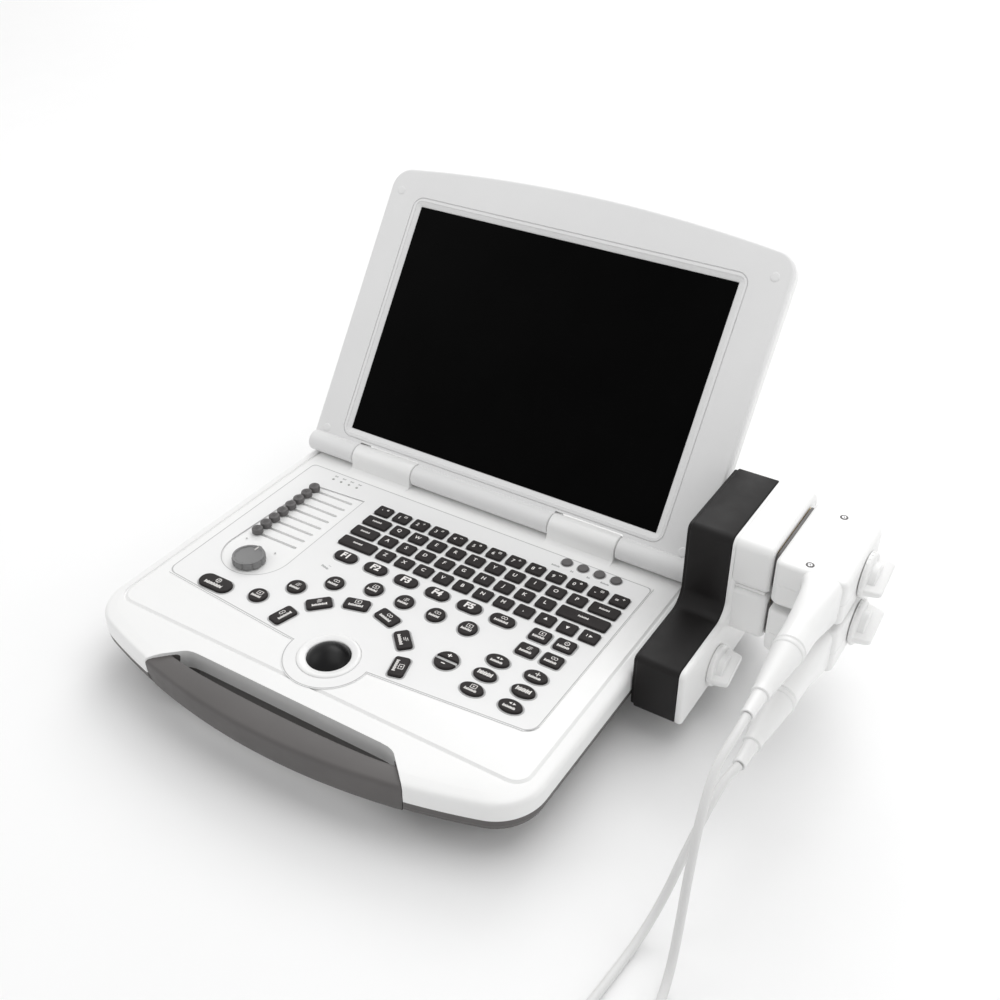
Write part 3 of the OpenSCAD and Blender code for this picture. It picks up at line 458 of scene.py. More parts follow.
HEAD_LIFT, HEAD_STEPS = 13.0, 40
HANDLE = [(22.5, 7.5, 7), (23, 9.6, 8.6), (25, 11, 9.7), (32, 12.6, 11), (50, 14, 12.1), (62, 14.6, 12.4),
          (78, 16.4, 12.6), (88, 20, 12.7), (96, 26, 12.6), (102, 29.3, 12.3), (108, 30.9, 11.8),
          (109, 30.7, 11.5)]
LENS = [(108.6, 30.2, 11.2), (112, 29.6, 10.2), (115.5, 27, 8.6), (118.5, 22.5, 6.6), (120.6, 17, 4.4),
        (121.6, 11, 2.2)]


def head_ring(end, out, s, wide, thick):
    """An oval across a probe head, at a distance from the end of the cord's tail."""
    side = Vector((-out.y, out.x, 0))
    ring = []
    for k in range(HEAD_STEPS):
        a = TAU * k / HEAD_STEPS
        at = end + out * s + side * wide * math.cos(a)
        ring.append((at.x, at.y, FLOOR + HEAD_LIFT + thick * math.sin(a)))
    return ring


boot = [(-3, 3.3, 3.3), (-1, 3.9, 3.9)]
for k in range(6):
    boot += [(s + 3 * k, r + 0.25 * k, r + 0.25 * k)
             for s, r in ((1, 4.0), (2.4, 4.0), (2.6, 3.5), (3.8, 3.5))]
boot += [(21, 6.2, 6.2), (23, 6.4, 6.4)]
for i, (cable, line, length, end) in enumerate(cables):
    work = Sheetwork()
    for material, rings in enumerate((boot, HANDLE, LENS)):
        work.skin([head_ring(end, TAIL_DIRECTION[i], *r) for r in rings], material=material)
    work.done(
        f"probe_head_{i + 1}", f"plug_{i + 1}", "white_shell", RELIEF, WHITE, KNOB_GREY,
        replaces=[f"transducer_{i + 1}"])


# ---------- case ----------

HALF_W, CASE_D, PART_LINE = 180.0, 318.0, -15.0
BOW_R, BOW_CY, CORNER_R, REAR_R = 490.0, 478.0, 36.0, 28.0
CORNER_X = HALF_W - CORNER_R
CORNER_Y = BOW_CY - math.sqrt((BOW_R - CORNER_R) ** 2 - CORNER_X ** 2)
BOW_HALF = math.degrees(math.asin(CORNER_X / (BOW_R - CORNER_R)))


def case_outline(d):
    return (arc(0, BOW_CY, BOW_R - d, 270 - BOW_HALF, 270 + BOW_HALF, 60)
            + arc(CORNER_X, CORNER_Y, CORNER_R - d, 271 + BOW_HALF, 360, 18)
            + arc(HALF_W - REAR_R, CASE_D - REAR_R, REAR_R - d, 0, 90, 12)
            + arc(REAR_R - HALF_W, CASE_D - REAR_R, REAR_R - d, 90, 180, 12)
            + arc(-CORNER_X, CORNER_Y, CORNER_R - d, 180, 269 - BOW_HALF, 18))


def prism(sheet, outline, z0, z1, material=0):
    sheet.stack(outline, [(0, z0), (0, z1)], material)


HANDLE_HALF, RECESS_D, TGC_PITCH = 107.0, 21.0, 9.8
recess_side = [(HANDLE_HALF + 0.5, -30), (HANDLE_HALF + 0.5, 0), (HANDLE_HALF - 16.5, 16),
               (HANDLE_HALF - 18.5, 18), (HANDLE_HALF - 21.5, 19.7), (HANDLE_HALF - 25.5, 20.7),
               (HANDLE_HALF - 31, RECESS_D)]
recess = recess_side + [(-x, y) for x, y in reversed(recess_side)]

deck_shell = Sheetwork()
deck_shell.stack(case_outline, [(0, PART_LINE), (0, -14.2), (0, -5.4), (0.2, -4.2), (0.7, -3.1), (1.5, -2.2),
                                (2.6, -1.55), (4.5, -1.05), (6.8, -0.55), (8.8, -0.12), (9.6, 0)])
cuts = Sheetwork()
prism(cuts, lambda d: recess, -17, 1)
prism(cuts, disc(BALL_X, BALL_Y, 21.3, 72), -17, 1)
for i in range(8):
    prism(cuts, rounded(-138.2, 146.7 + TGC_PITCH * i, -98.4, 149.3 + TGC_PITCH * i, 1.25, 5), -2.6, 1)
prism(cuts, rounded(172, 225.4, 182, 284.6, 0.4, 2), -13.1, -3.9)
prism(cuts, rounded(-60.2, 303, 40.2, 322, 0.3, 2), -17, -7.8)
cuts.channel(rounded(-171.6, 35, 171.6, 312, 13.5, 10),
             [(0, 1), (0, 0.02), (0.35, -1.5), (0.8, -1.75), (1.4, -1.6), (2.3, -0.75), (3.2, 0.02),
              (3.2, 1)])


def loose(sheet, name):
    obj = bpy.data.objects.new(name, sheet.data(name))
    scene.collection.objects.link(obj)
    return obj


def carved(body, *cutters):
    """The body's mesh with the cutters' solids taken out of it, one after the other."""
    for cutter in cutters:
        change = body.modifiers.new("carve", "BOOLEAN")
        change.operation = "DIFFERENCE"
        change.solver = "EXACT"
        change.object = cutter
    bpy.context.view_layer.update()
    result = bpy.data.meshes.new_from_object(body.evaluated_get(bpy.context.evaluated_depsgraph_get()))
    for obj in (body, *cutters):
        bpy.data.objects.remove(obj)
    return result


shell_data = carved(loose(deck_shell, "deck_blank"), loose(cuts, "deck_cuts"))
finish_mesh("deck_case", shell_data, "base", [WHITE], ["upper_case"], 26)

barrels = Sheetwork()
for x0, x1 in ((-131, -73), (56, 113)):
    section = arc(HINGE_Y, HINGE_Z, 9, -90, 180, 30) + [(259, 4), (258.4, 1.4), (256.8, 0.3), (254.5, 0),
                                                        (254.5, -1), (277, -1)]
    rings = []
    for x, inset in ((x0, 0.9), (x0 + 0.3, 0.3), (x0 + 1, 0), (x1 - 1, 0), (x1 - 0.3, 0.3), (x1, 0.9)):
        rings.append([(x, HINGE_Y + (y - HINGE_Y) * (1 - inset / 14), 4 + (z - 4) * (1 - inset / 10))
                      for y, z in section])
    barrels.skin(rings)
barrels.done("hinge_barrels", "base", "white_shell", WHITE)


def bow_y(x, d):
    return BOW_CY - math.sqrt((BOW_R - d) ** 2 - x * x)


GRIP_STEPS = 48
GRIP_BACK = [(0, -4.4), (0.3, -3.3), (0.9, -2.7), (1.8, -2.4)]
GRIP_FRONT = [(3.2, -3.1), (2.1, -3.3), (1.2, -3.8), (0.5, -4.6), (0.1, -5.8), (0, -7.2), (0.4, -14),
              (1.4, -21), (2.6, -25.4), (3.8, -27.6), (5.4, -28.7), (7.4, -29)]
GRIP_UNDER = [(5.8, -29), (4, -28), (3, -26), (1, -14)]
grip = Sheetwork()
rings = []
for i in range(2 * GRIP_STEPS + 1):
    t = (i - GRIP_STEPS) / GRIP_STEPS
    lift = abs(t) ** 6
    slant = abs(t) ** 60
    x0 = t * HANDLE_HALF
    inner = bow_y(x0, 0) * 0.35 + 12.1 + 4 * lift
    section = ([(inner - d, z) for d, z in GRIP_BACK] + [(bow_y(x0, d), z) for d, z in GRIP_FRONT]
               + [(inner - d, z) for d, z in GRIP_UNDER])
    rings.append([(x0 - math.copysign(1, t) * max(0, y) * 1.06 * slant, y, z) for y, z in section])
grip.skin(rings)
grip.done("front_grip", "base", "dark_shell", DARK, replaces=["carry_handle"], sharp=38)


# ---------- control film and its print ----------

FILM_Z = 0.63                      # print lies this high on the film
ROCKER_X, ROCKER_Y = 69.5, 103.5
MENU_X, MENU_Y, MENU_PITCH = 84.8, 240.4, 13.7


def film_edge(d):
    """The film's outline moved inwards: a straight-sided field with a round bulge at the ball."""
    cx, cy, r = BALL_X, BALL_Y, 32.0 - d
    left, right, top, low = -162 + d, 153 - d, 247 - d, 66 + d
    turn = math.degrees(math.asin((low - cy) / r))
    return (arc(left + 4, top - 4, 4, 90, 180, 5) + arc(left + 8, 84 + d, 8, 180, 262, 8)
            + [(cx - r * math.cos(math.radians(turn)) - 4, low + 0.15)]
            + arc(cx, cy, r, 180 - turn, 360 + turn, 30) + arc(right - 9, 85 + d, 9, 279, 360, 9)
            + arc(right - 4, top - 4, 4, 0, 90, 5))


def flat_ring(sheet, outer, inner, z, material):
    sheet.band(sheet.ring([(x, y, z) for x, y in outer]), sheet.ring([(x, y, z) for x, y in inner]), material)


KEY_W, KEY_D, PITCH, ROW_PITCH, ROW_1_Y, ROWS_LEFT = 13.25, 11.05, 17.35, 15.15, 220.4, -75.8
# Each row's wide first key, its count of plain keys and its wide last key; 0 where a row has none
ROWS = [(0, 13, 0), (22.05, 10, 22.05), (22.05, 9, 39.35), (31.05, 11, 0)]
KEY_TOP = 2.7
MODE_X, MODE_Y, MODE_PITCH = -58.6, 158.4, 27.6


def centred(w, h, r, steps):
    return rounded(-w / 2, -h / 2, w / 2, h / 2, r, steps)


def pill(w, h):
    return centred(w, h, h / 2 - 0.05, 10)


def oval(w, h, steps=44):
    return lambda d: [((w / 2 - d) * math.cos(TAU * k / steps),
                       (h / 2 - d) * math.sin(TAU * k / steps)) for k in range(steps)]


def key(shape, x, y, width, turn=0):
    """A key's outline on the deck, then its centre, its width and its turn."""
    return turned(shape, x, y, turn), x, y, width, turn


banks = {}
for n, (wide, plain, last) in enumerate(ROWS):
    y = ROW_1_Y - ROW_PITCH * n
    spans, x = [], ROWS_LEFT
    if wide:
        spans.append((x, wide))
        x += wide + PITCH - KEY_W
    for _ in range(plain):
        spans.append((x, KEY_W))
        x += PITCH
    if last:
        spans.append((x, last))
    banks[f"key_row_{n + 1}"] = (f"row_{n + 1}", [key(centred(w, KEY_D, 1.6, 4), x + w / 2, y, w)
                                                  for x, w in spans])
banks["mode_keys"] = ("mode", [key(pill(19, 10.5), MODE_X + MODE_PITCH * i, MODE_Y, 19) for i in range(6)])
banks["freeze_key"] = ("freeze", [key(pill(28, 13.6), -119.3, 83.1, 28)])
banks["round_keys"] = ("round", [key(oval(13.8, 13.8), x, y, 13.8) for x, y in (
    (-84, 89), (-67, 111), (-46, 129), (-17.5, 138.5), (9.5, 138.5), (36.5, 138.5), (63.5, 138.5))])
ring_keys = []
for degrees in range(15, 180, 30):
    c, s = cos_sin(degrees)
    ring_keys.append(key(centred(18.5, 10.8, 2.2, 5), -4 + 52 * c, 68 + 52 * s, 18.5, degrees - 90))
banks["arc_keys"] = ("arc", ring_keys)
side_keys = [key(centred(14.6, 11.4, 2, 5), x, y, 14.6) for x in (110, 129.5) for y in (158.2, 140.8)]
side_keys += [key(oval(17, 11), x, y, 17) for x in (98.9, 128.5) for y in (121.5, 105.5, 89.5)]
banks["function_keys"] = ("function", side_keys)

# The film's raised rim round each key, coloured grey as painted shade round the keys
LIP = [(-1.5, 0.58), (-1.4, 0.72), (-0.9, 0.86), (-0.3, 0.8), (0.3, 0.3)]
ROW_LIP = [(-0.8, 0.58), (-0.75, 0.7), (-0.45, 0.76), (-0.2, 0.7), (0.3, 0.3)]
MENU_LIP = [(-0.9, 0.58), (-0.8, 0.74), (-0.4, 0.84), (-0.15, 0.8), (0.2, 0.3)]
# The rims' grey is painted shade round each key
LIP_SHADE_GREY = moulded("key_lip_painted_shade", (0.47, 0.47, 0.47), 0.5, grain=2000, depth=0.2, drift=0.03)
LINE_GREY = moulded("print_line", (0.5, 0.5, 0.5), 0.5, grain=2500, depth=0.1, drift=0.05)
halo = Sheetwork()
for bank, (body, keys) in banks.items():
    for outline, x, y, w, turn in keys:
        halo.stack(outline, ROW_LIP if bank.startswith("key_row") else LIP, low=False, high=False)
halo.stack(disc(ROCKER_X, ROCKER_Y, 8.5), LIP, low=False, high=False)
for i in range(4):
    halo.stack(disc(MENU_X + MENU_PITCH * i, MENU_Y, 4.2), MENU_LIP, low=False, high=False)
halo.done("key_surrounds", "base", "film", LIP_SHADE_GREY, sharp=60)

print_work = Sheetwork()
flat_ring(print_work, film_edge(0.35), film_edge(1.15), FILM_Z, 1)


def pocket_edge(d):
    """Outline round the gain knob and its sliders."""
    return arc(-119, 129.5, 28.5 - d, 180, 360, 36) + [(-92 - d, 225 - d), (-142 + d, 222 - d)]


flat_ring(print_work, pocket_edge(0), pocket_edge(0.6), FILM_Z, 1)
print_work.done("film_outline", "base", "film", PRINT_GREY, LINE_GREY, fix=False)


# ---------- keys with their marks ----------

class Marks:
    """Flat printed marks just above a surface, turned and placed on it."""

    def __init__(self, sheet, cx, cy, turn, z, material):
        self.sheet, self.at, self.z, self.material = sheet, (cx, cy), z, material
        self.c, self.s = cos_sin(turn)

    def put(self, points):
        ring = [(self.at[0] + x * self.c - y * self.s, self.at[1] + x * self.s + y * self.c, self.z)
                for x, y in points]
        self.sheet.mesh.faces.new(self.sheet.ring(ring)).material_index = self.material

    def bar(self, x, y, w, h):
        self.put([(x - w / 2, y - h / 2), (x + w / 2, y - h / 2),
                  (x + w / 2, y + h / 2), (x - w / 2, y + h / 2)])

    def ring(self, x, y, r, width):
        n = 20
        for k in range(n):
            a, b = TAU * k / n, TAU * (k + 1) / n
            self.put([(x + q * math.cos(t), y + q * math.sin(t))
                      for q, t in ((r - width, a), (r, a), (r, b), (r - width, b))])

    def frame(self, x, y, w, h, t=0.45):
        for dx, dy, a, b in ((0, h / 2, w, t), (0, -h / 2, w, t), (w / 2, 0, t, h), (-w / 2, 0, t, h)):
            self.bar(x + dx, y + dy, a, b)

    def arrow(self, x, y, size, turn):
        c, s = cos_sin(turn)
        self.put([(x + a * c - b * s, y + a * s + b * c)
                  for a, b in ((size, 0), (-size * 0.6, size * 0.8), (-size * 0.6, -size * 0.8))])

    def word(self, x, y, width, height):
        """A row of small blocks that stands for a caption."""
        at, k = x - width / 2, 0
        while at < x + width / 2 - 0.5:
            step = (0.95, 0.7, 1.1, 0.6, 0.85)[k % 5]
            tall = k % 3 == 0
            self.bar(at + step / 2, y + (0.18 if tall else 0), step * 0.72, height * (1.25 if tall else 0.95))
            at, k = at + step, k + 1

    def sign(self, kind, x, y, s):
        if kind == 0:
            self.ring(x, y, s, 0.5)
            self.bar(x, y, s * 0.7, 0.45)
        elif kind == 1:
            self.frame(x, y, 2.2 * s, 1.7 * s)
            self.arrow(x, y, s * 0.5, 0)
        elif kind == 2:
            self.bar(x, y, 2 * s, 0.6)
            self.bar(x, y, 0.6, 2 * s)
        elif kind == 3:
            for k in (-1, 0, 1):
                self.bar(x + k * 0.2 * s, y + k * 0.62 * s, (1.9 - 0.35 * abs(k)) * s, 0.42)
        elif kind == 4:
            self.arrow(x - s * 0.7, y, s * 0.7, 180)
            self.arrow(x + s * 0.7, y, s * 0.7, 0)
        else:
            self.ring(x - s * 0.5, y, s * 0.7, 0.45)
            self.ring(x + s * 0.6, y, s * 0.7, 0.45)


MARK_Z = KEY_TOP + 0.03


def glyph(sheet, text, cx, cy, size, bold):
    """Letters or digits from Blender's own font, centred on a point of a key's top."""
    font = bpy.data.curves.new("glyph", "FONT")
    font.body, font.size, font.align_x, font.align_y, font.offset = text, size, "CENTER", "CENTER", bold
    font.resolution_u = 3
    holder = bpy.data.objects.new("glyph", font)
    scene.collection.objects.link(holder)
    bpy.context.view_layer.update()
    flat = bpy.data.meshes.new_from_object(holder.evaluated_get(bpy.context.evaluated_depsgraph_get()))
    bpy.data.objects.remove(holder)
    points = sheet.ring([(cx + v.co.x, cy + v.co.y, MARK_Z) for v in flat.vertices])
    for polygon in flat.polygons:
        sheet.mesh.faces.new([points[k] for k in polygon.vertices]).material_index = 1
    bpy.data.meshes.remove(flat)


LETTERS = {"key_row_1": "`1234567890-=", "key_row_2": " QWERTYUIOP ", "key_row_3": " ASDFGHJKL ",
           "key_row_4": " ZXCVBNM,.  "}
ARROWS = {("key_row_4", 9): 90, ("key_row_4", 10): 270}
PRINT_KEY = moulded("key_print", (0.82, 0.8, 0.78), 0.5, grain=2500, depth=0.1, drift=0.04)
cap_profile = [(0.35, -0.6), (0, -0.2), (0, KEY_TOP - 0.75)] + over(0.7, KEY_TOP, 5)[1:]
for bank, (body, keys) in banks.items():
    work = Sheetwork()
    for n, (outline, x, y, w, turn) in enumerate(keys):
        work.stack(outline, cap_profile, low=False)
        marks = Marks(work, x, y, turn, MARK_Z, 1)
        if bank.startswith("key_row"):
            letter = LETTERS[bank][n]
            if bank == "key_row_4" and n == 11:
                marks.arrow(0.8, 0, 1.7, 0)
                marks.bar(-2.0, 0, 0.5, 2.6)
            elif (bank, n) in ARROWS:
                marks.arrow(0, 0, 1.9, ARROWS[(bank, n)])
            elif letter != " ":
                lift = 0.9 if bank == "key_row_1" else 0.0
                glyph(work, letter, x - 0.4 - lift * 1.6, y - lift, 4.8, 0.1)
                if bank == "key_row_1":
                    marks.sign(n % 5, 2.6, 1.8, 1.0)
            else:
                marks.word(0, 0, min(w - 12, 8.5), 1.5)
        elif bank == "mode_keys" and n < 5:
            glyph(work, f"F{n + 1}", x, y, 8.0, 0.34)
        elif bank == "freeze_key":
            marks.sign(2, 1, 2.4, 1.9)
            marks.sign(0, 1, 2.4, 2.3)
            marks.word(0, -2.7, 16, 2.5)
        elif bank in ("mode_keys", "round_keys", "arc_keys"):
            marks.sign((n * 2 + 1) % 6, 0.6, 1.8, 2.0)
            marks.word(0, -2.3, 8.5 if bank == "round_keys" else 11, 1.9)
        elif n < 4:
            marks.sign((1, 3, 0, 5)[n], 1, 1.7, 2.0)
            marks.word(0, -2.5, 9.5, 1.9)
        elif n in (5, 8):
            marks.word(0, 0, 11, 3.0)
        else:
            marks.sign(n % 5, 0.5, 1.7, 1.9)
            marks.word(0, -2.1, 9.5, 1.8)
    work.done(bank + "_caps", body, "key_dark", KEY, PRINT_KEY, replaces=[bank], fix=False, sharp=50)

CAP_PALE = moulded("rocker_seat", (0.6, 0.6, 0.6), 0.5, grain=2200, depth=0.2, drift=0.03)
rocker = Sheetwork()
for side, first in ((1, 5), (-1, 185)):
    half = arc(0, 0, 9, first, first + 170, 26)

    def lobe(d, half=half, side=side):
        return [(ROCKER_X + x * (8.4 - d) / 9, ROCKER_Y + side * max(1.5 + d, abs(y) * (8.4 - d) / 9))
                for x, y in half]
    rocker.stack(lobe, cap_profile, low=False)
rocker.stack(turned(oval(15.6, 15.6), ROCKER_X, ROCKER_Y, 0), [(0.2, -0.6), (0, 0.9), (0.4, 1.1)], 2,
             low=False)
for side, width in ((1, 3.4), (-1, 3.0)):
    sign = Marks(rocker, ROCKER_X, ROCKER_Y + side * 4.3, 0, MARK_Z, 1)
    sign.bar(0, 0, width, 0.9)
    if side > 0:
        sign.bar(0, 1.05, 0.9, 1.2)
        sign.bar(0, -1.05, 0.9, 1.2)
rocker.done("gain_rocker_cap", "rocker", "key_dark", KEY, PRINT_KEY, CAP_PALE, replaces=["gain_rocker"],
            fix=False, sharp=50)

menu_profile = [(0.2, -0.6), (0, 0), (0, 1.6)] + over(1.0, 2.6, 5)[1:] + [(2.2, 2.68), (3.2, 2.62)]
for i in range(4):
    button = Sheetwork()
    button.stack(disc(MENU_X + MENU_PITCH * i, MENU_Y, 4.2), menu_profile, low=False)
    button.done(f"menu_cap_{i + 1}", f"menu_{i + 1}", "control_grey", CAP_GREY,
                replaces=[f"menu_button_{i + 1}"], fix=False, sharp=60)

tgc_profile = ([(0.5, 0.62), (0.1, 0.9), (0, 1.4), (0, 3.9)] + over(1.1, 5.1, 5)[1:]
               + [(2.0, 5.2), (3.0, 5.05), (3.6, 4.9)])
for i in range(8):
    cap = Sheetwork()
    y = 148 + TGC_PITCH * i
    cap.stack(disc(-136.5, y, 4.4, 40), tgc_profile, low=False)
    for k in (-1, 0, 1):
        prism(cap, rounded(-136.9 + 1.5 * k, y - 2.6, -136.1 + 1.5 * k, y + 2.6, 0.35, 3), 4.9, 5.42)
    prism(cap, rounded(-138, y - 0.8, -135, y + 0.8, 0.2, 2), -2.4, 1.0)
    cap.done(f"tgc_cap_{i + 1}", f"tgc_{i + 1}", "control_grey", CAP_GREY, replaces=[f"tgc_slider_{i + 1}"],
             fix=False, sharp=45)


def lobed(cx, cy, r, lobes, dip, steps=160):
    """Round knob outline with finger hollows, and a bump that points backwards."""
    def outline(d):
        points = []
        for k in range(steps):
            a = TAU * k / steps
            hollow = dip * max(0.0, math.cos(lobes * a)) ** 6
            bump_out = 1.3 * max(0.0, math.cos(a - math.pi / 2)) ** 60
            q = r - d - hollow + bump_out
            points.append((cx + q * math.cos(a), cy + q * math.sin(a)))
        return points
    return outline


KNOB_X, KNOB_Y = -117.5, 117
knob = Sheetwork()
knob.stack(lobed(KNOB_X, KNOB_Y, 12.6, 10, 0.9),
           [(0.6, 0.8), (0, 1.2), (0, 5.0), (0.25, 5.7), (0.8, 6.2), (1.6, 6.45), (2.2, 6.5)],
           low=False, high=False)
knob.stack(disc(KNOB_X, KNOB_Y, 11.2, 64), [(-0.9, 6.5), (0, 6.46), (0.6, 6.2), (1.2, 6.05), (9, 5.95)],
           low=False)
prism(knob, rounded(-118.0, 124, -117.0, 128.5, 0.4, 3), 6.0, 6.5, material=1)
knob.done("gain_dial", "gain", "knob_grey", KNOB_GREY, PRINT_PALE, replaces=["gain_knob"], fix=False,
          sharp=40)


def hoop(r, z, steps=96):
    """A ring of points round the ball's upright axis."""
    return [(BALL_X + r * math.cos(TAU * q / steps),
             BALL_Y + r * math.sin(TAU * q / steps), z) for q in range(steps)]


collar = Sheetwork()
collar.skin([hoop(r, z) for r, z in (
    (20.8, -12), (20.9, 0.0), (21.95, 0.2), (21.9, 0.9), (21.5, 1.35), (20.8, 1.65), (19.9, 1.75),
    (18.9, 1.6), (17.6, 1.25), (16.4, 1.0), (15.7, 0.75), (15.3, 0.3), (15.3, -0.4), (15.9, -1.1))],
    low=False, high=False)
collar.done("ball_collar", "base", "white_shell", WHITE, replaces=["trackball_ring"], fix=False, sharp=50)

ball = Sheetwork()
rings = []
for k in range(1, 48):
    a = math.pi * k / 48 - math.pi / 2
    rings.append(hoop(BALL_R * math.cos(a), BALL_Z + BALL_R * math.sin(a)))
ball.skin(rings)
ball.done("rolling_ball", "ball", "ball_black", BALL, replaces=["trackball"], fix=False, sharp=60)

signs = Sheetwork()
SIGN_Z = 0.64
dots = Marks(signs, 0, 0, 0, SIGN_Z, 0)
for x, y in ((-138.5, 137.5), (-107.5, 134.5)):
    dots.ring(x, y, 0.75, 0.74)
Marks(signs, -65, 141, -14, SIGN_Z, 0).word(0, 0, 7.5, 1.7)
Marks(signs, -62.5, 144, -14, SIGN_Z, 0).bar(0, 0, 2.6, 0.4)
for i in range(4):
    Marks(signs, 79 + MENU_PITCH * i, 233.4, 0, SIGN_Z, 0).word(0, 0, 7 if i in (0, 3) else 2.6, 1.5)
    Marks(signs, -133.5 + 8 * i, 241.4, 0, SIGN_Z, 0).word(0, 0, 3.4, 1.4)
signs.done("film_marks", "base", "film", PRINT_GREY, fix=False)


# ---------- probe adapter ----------

FRONT, BACK, LOW, TOP, STEP_Y, STEP_Z = 158.0, 312.0, -28.0, 81.0, 228.0, 17.0
PLUG_Z = (64.0, 24.0)


def adapter_side(d):
    """Side view of the adapter in Y and Z, moved inwards."""
    return (arc(FRONT + 4, LOW + 4, 4 - d, 180, 270, 6) + arc(BACK - 4, LOW + 4, 4 - d, 270, 360, 6)
            + arc(BACK - 4, TOP - 4, 4 - d, 0, 90, 6) + arc(STEP_Y + 6, TOP - 6, 6 - d, 90, 180, 8)
            + arc(STEP_Y - 12, STEP_Z + 12, 12 + d, 0, -90, 12)
            + arc(FRONT + 5, STEP_Z - 5, 5 - d, 90, 180, 7))


def sideways(sheet, outline, profile, material=0):
    """A body whose side view runs along X: profile holds pairs of inset and X."""
    sheet.skin([[(x, y, z) for y, z in outline(d)] for d, x in profile], material=material)


shell = Sheetwork()
sideways(shell, adapter_side, [(2.6, 180.4), (1.7, 180.6), (1.4, 181), (1.4, 182.9), (1.1, 183.1),
                               (0.35, 183.2), (0, 183.6), (0, 212.4), (0.35, 212.9), (0.9, 213.1)])
sideways(shell, rounded(226, -12.4, 284, -4.6, 1, 4), [(0.8, 170.4), (0, 171.2), (0, 181)])
shell.done("adapter_shell", "adapter", "black_shell", BLACK, replaces=["adapter_inner"], sharp=35)

plate = Sheetwork()
sideways(plate, adapter_side, [(0.9, 213.3), (0.2, 213.7), (0, 214.2), (0, 216.2), (0.35, 217.3), (1.1, 218),
                               (2.0, 218.3)])
sideways(plate, disc(209, -11, 16.4, 64), [(0, 218.2), (0, 218.5), (0.4, 218.65), (1, 218.65)])
plate.done("adapter_plate", "adapter", "white_shell", WHITE, replaces=["adapter_outer"], sharp=35)

housings = Sheetwork()
for z0, z1, y0, front_r in ((44.6, 81, 228, 6.0), (6, 42.8, 228.8, 5.0)):
    sideways(housings, rounded(y0, z0, 312, z1, front_r, 8),
             [(0, 216), (0, 238.6), (0.35, 240), (1.1, 241.1), (2.4, 241.7)])
openings = Sheetwork()
for z in PLUG_Z:
    sideways(openings, rounded(236.2, z - 12.8, 295.8, z + 12.8, 1.5, 4), [(0, 219), (0, 244)])
finish_mesh("socket_housings", carved(loose(housings, "housing_blank"), loose(openings, "housing_cuts")),
            "adapter", [WHITE])

seam = Sheetwork()
sideways(seam, rounded(231, 42.6, 310, 44.8, 0.3, 3), [(0, 216), (0, 238.6), (0.3, 239)])
seam.done("housing_seam", "adapter", "white_shell", WHITE)


# ---------- lock knobs: a round base, a hub and a wing across it ----------

def wing_knob(name, body, node, x, y, z, r):
    work = Sheetwork()
    lathe(work, (x, y, z), [
        (0, r * 0.86), (0.1, r - 0.5), (0.5, r), (2.4, r), (3.3, r - 0.35), (3.9, r - 1.1), (4, r - 2.4),
        (3.8, r * 0.68), (4.3, r * 0.62), (8.2, r * 0.6), (8.9, r * 0.54), (9, r * 0.3)], "x", 72)
    corners = [(-0.45, r - 0.3), (0.45, r - 0.3), (0.45, r + 0.28), (-0.45, r + 0.28)]
    for k in range(24):
        a = TAU * k / 24
        c, s = math.cos(a), math.sin(a)
        work.skin([[(x + at, y + v * c - u * s, z + v * s + u * c) for u, v in corners] for at in (0.7, 2.6)])
    c, s = cos_sin(20)
    rings = []
    for at, half, thick in ((3.5, 0.95, 3.2), (5, 0.95, 3.15), (8, 0.93, 2.9), (11, 0.9, 2.6),
                            (13.4, 0.86, 2.4), (14.5, 0.82, 2.0), (14.9, 0.77, 1.4)):
        outline = rounded(-half * r, -thick, half * r, thick, min(1.6, thick - 0.1), 6)(0)
        rings.append([(x + at, y + u * c - v * s, z + u * s + v * c) for u, v in outline])
    work.skin(rings)
    lathe(work, (x, y, z), [(-1.5, 3), (0.2, 3)], "x", 24)
    return work.done(name, body, "white_shell", WHITE, replaces=[node], sharp=34)


wing_knob("adapter_lock_knob", "adapter_lock", "adapter_knob", 218.7, 209, -11, 15)
for i, z in enumerate(PLUG_Z, 1):
    wing_knob(f"plug_lock_knob_{i}", f"plug_{i}_lock", f"plug_knob_{i}", 293.7, 261, z, 16)


# ---------- probe plugs and strain reliefs ----------

PLUG_X, PLUG_FAR, PLUG_FRONT, PLUG_BACK, ARM_X = 244.3, 293.3, 220.0, 300.0, 278.3


def plug_plan(d):
    """Plan of a plug, moved inwards."""
    return (arc(PLUG_X + 6.6, PLUG_FRONT + 6, 6 - d, 180, 270, 8)
            + arc(PLUG_FAR - 5, PLUG_FRONT + 5, 5 - d, 270, 360, 7)
            + arc(PLUG_FAR - 14, PLUG_BACK - 14, 14 - d, 0, 90, 12)
            + arc(PLUG_X + 4.6, PLUG_BACK - 4, 4 - d, 90, 180, 6))


def neck(y, z, half_x, half_z, power, shift=0.0, steps=48):
    ring = []
    for k in range(steps):
        c, s = math.cos(TAU * k / steps), math.sin(TAU * k / steps)
        ring.append((ARM_X + shift + half_x * math.copysign(abs(c) ** power, c), y,
                     z + half_z * math.copysign(abs(s) ** power, s)))
    return ring


NECK_STEPS = 18
PLUG_EDGE = [(3.9, 16.95), (2.2, 16.8), (1.0, 16.1), (0.3, 15.2), (0, 14)]

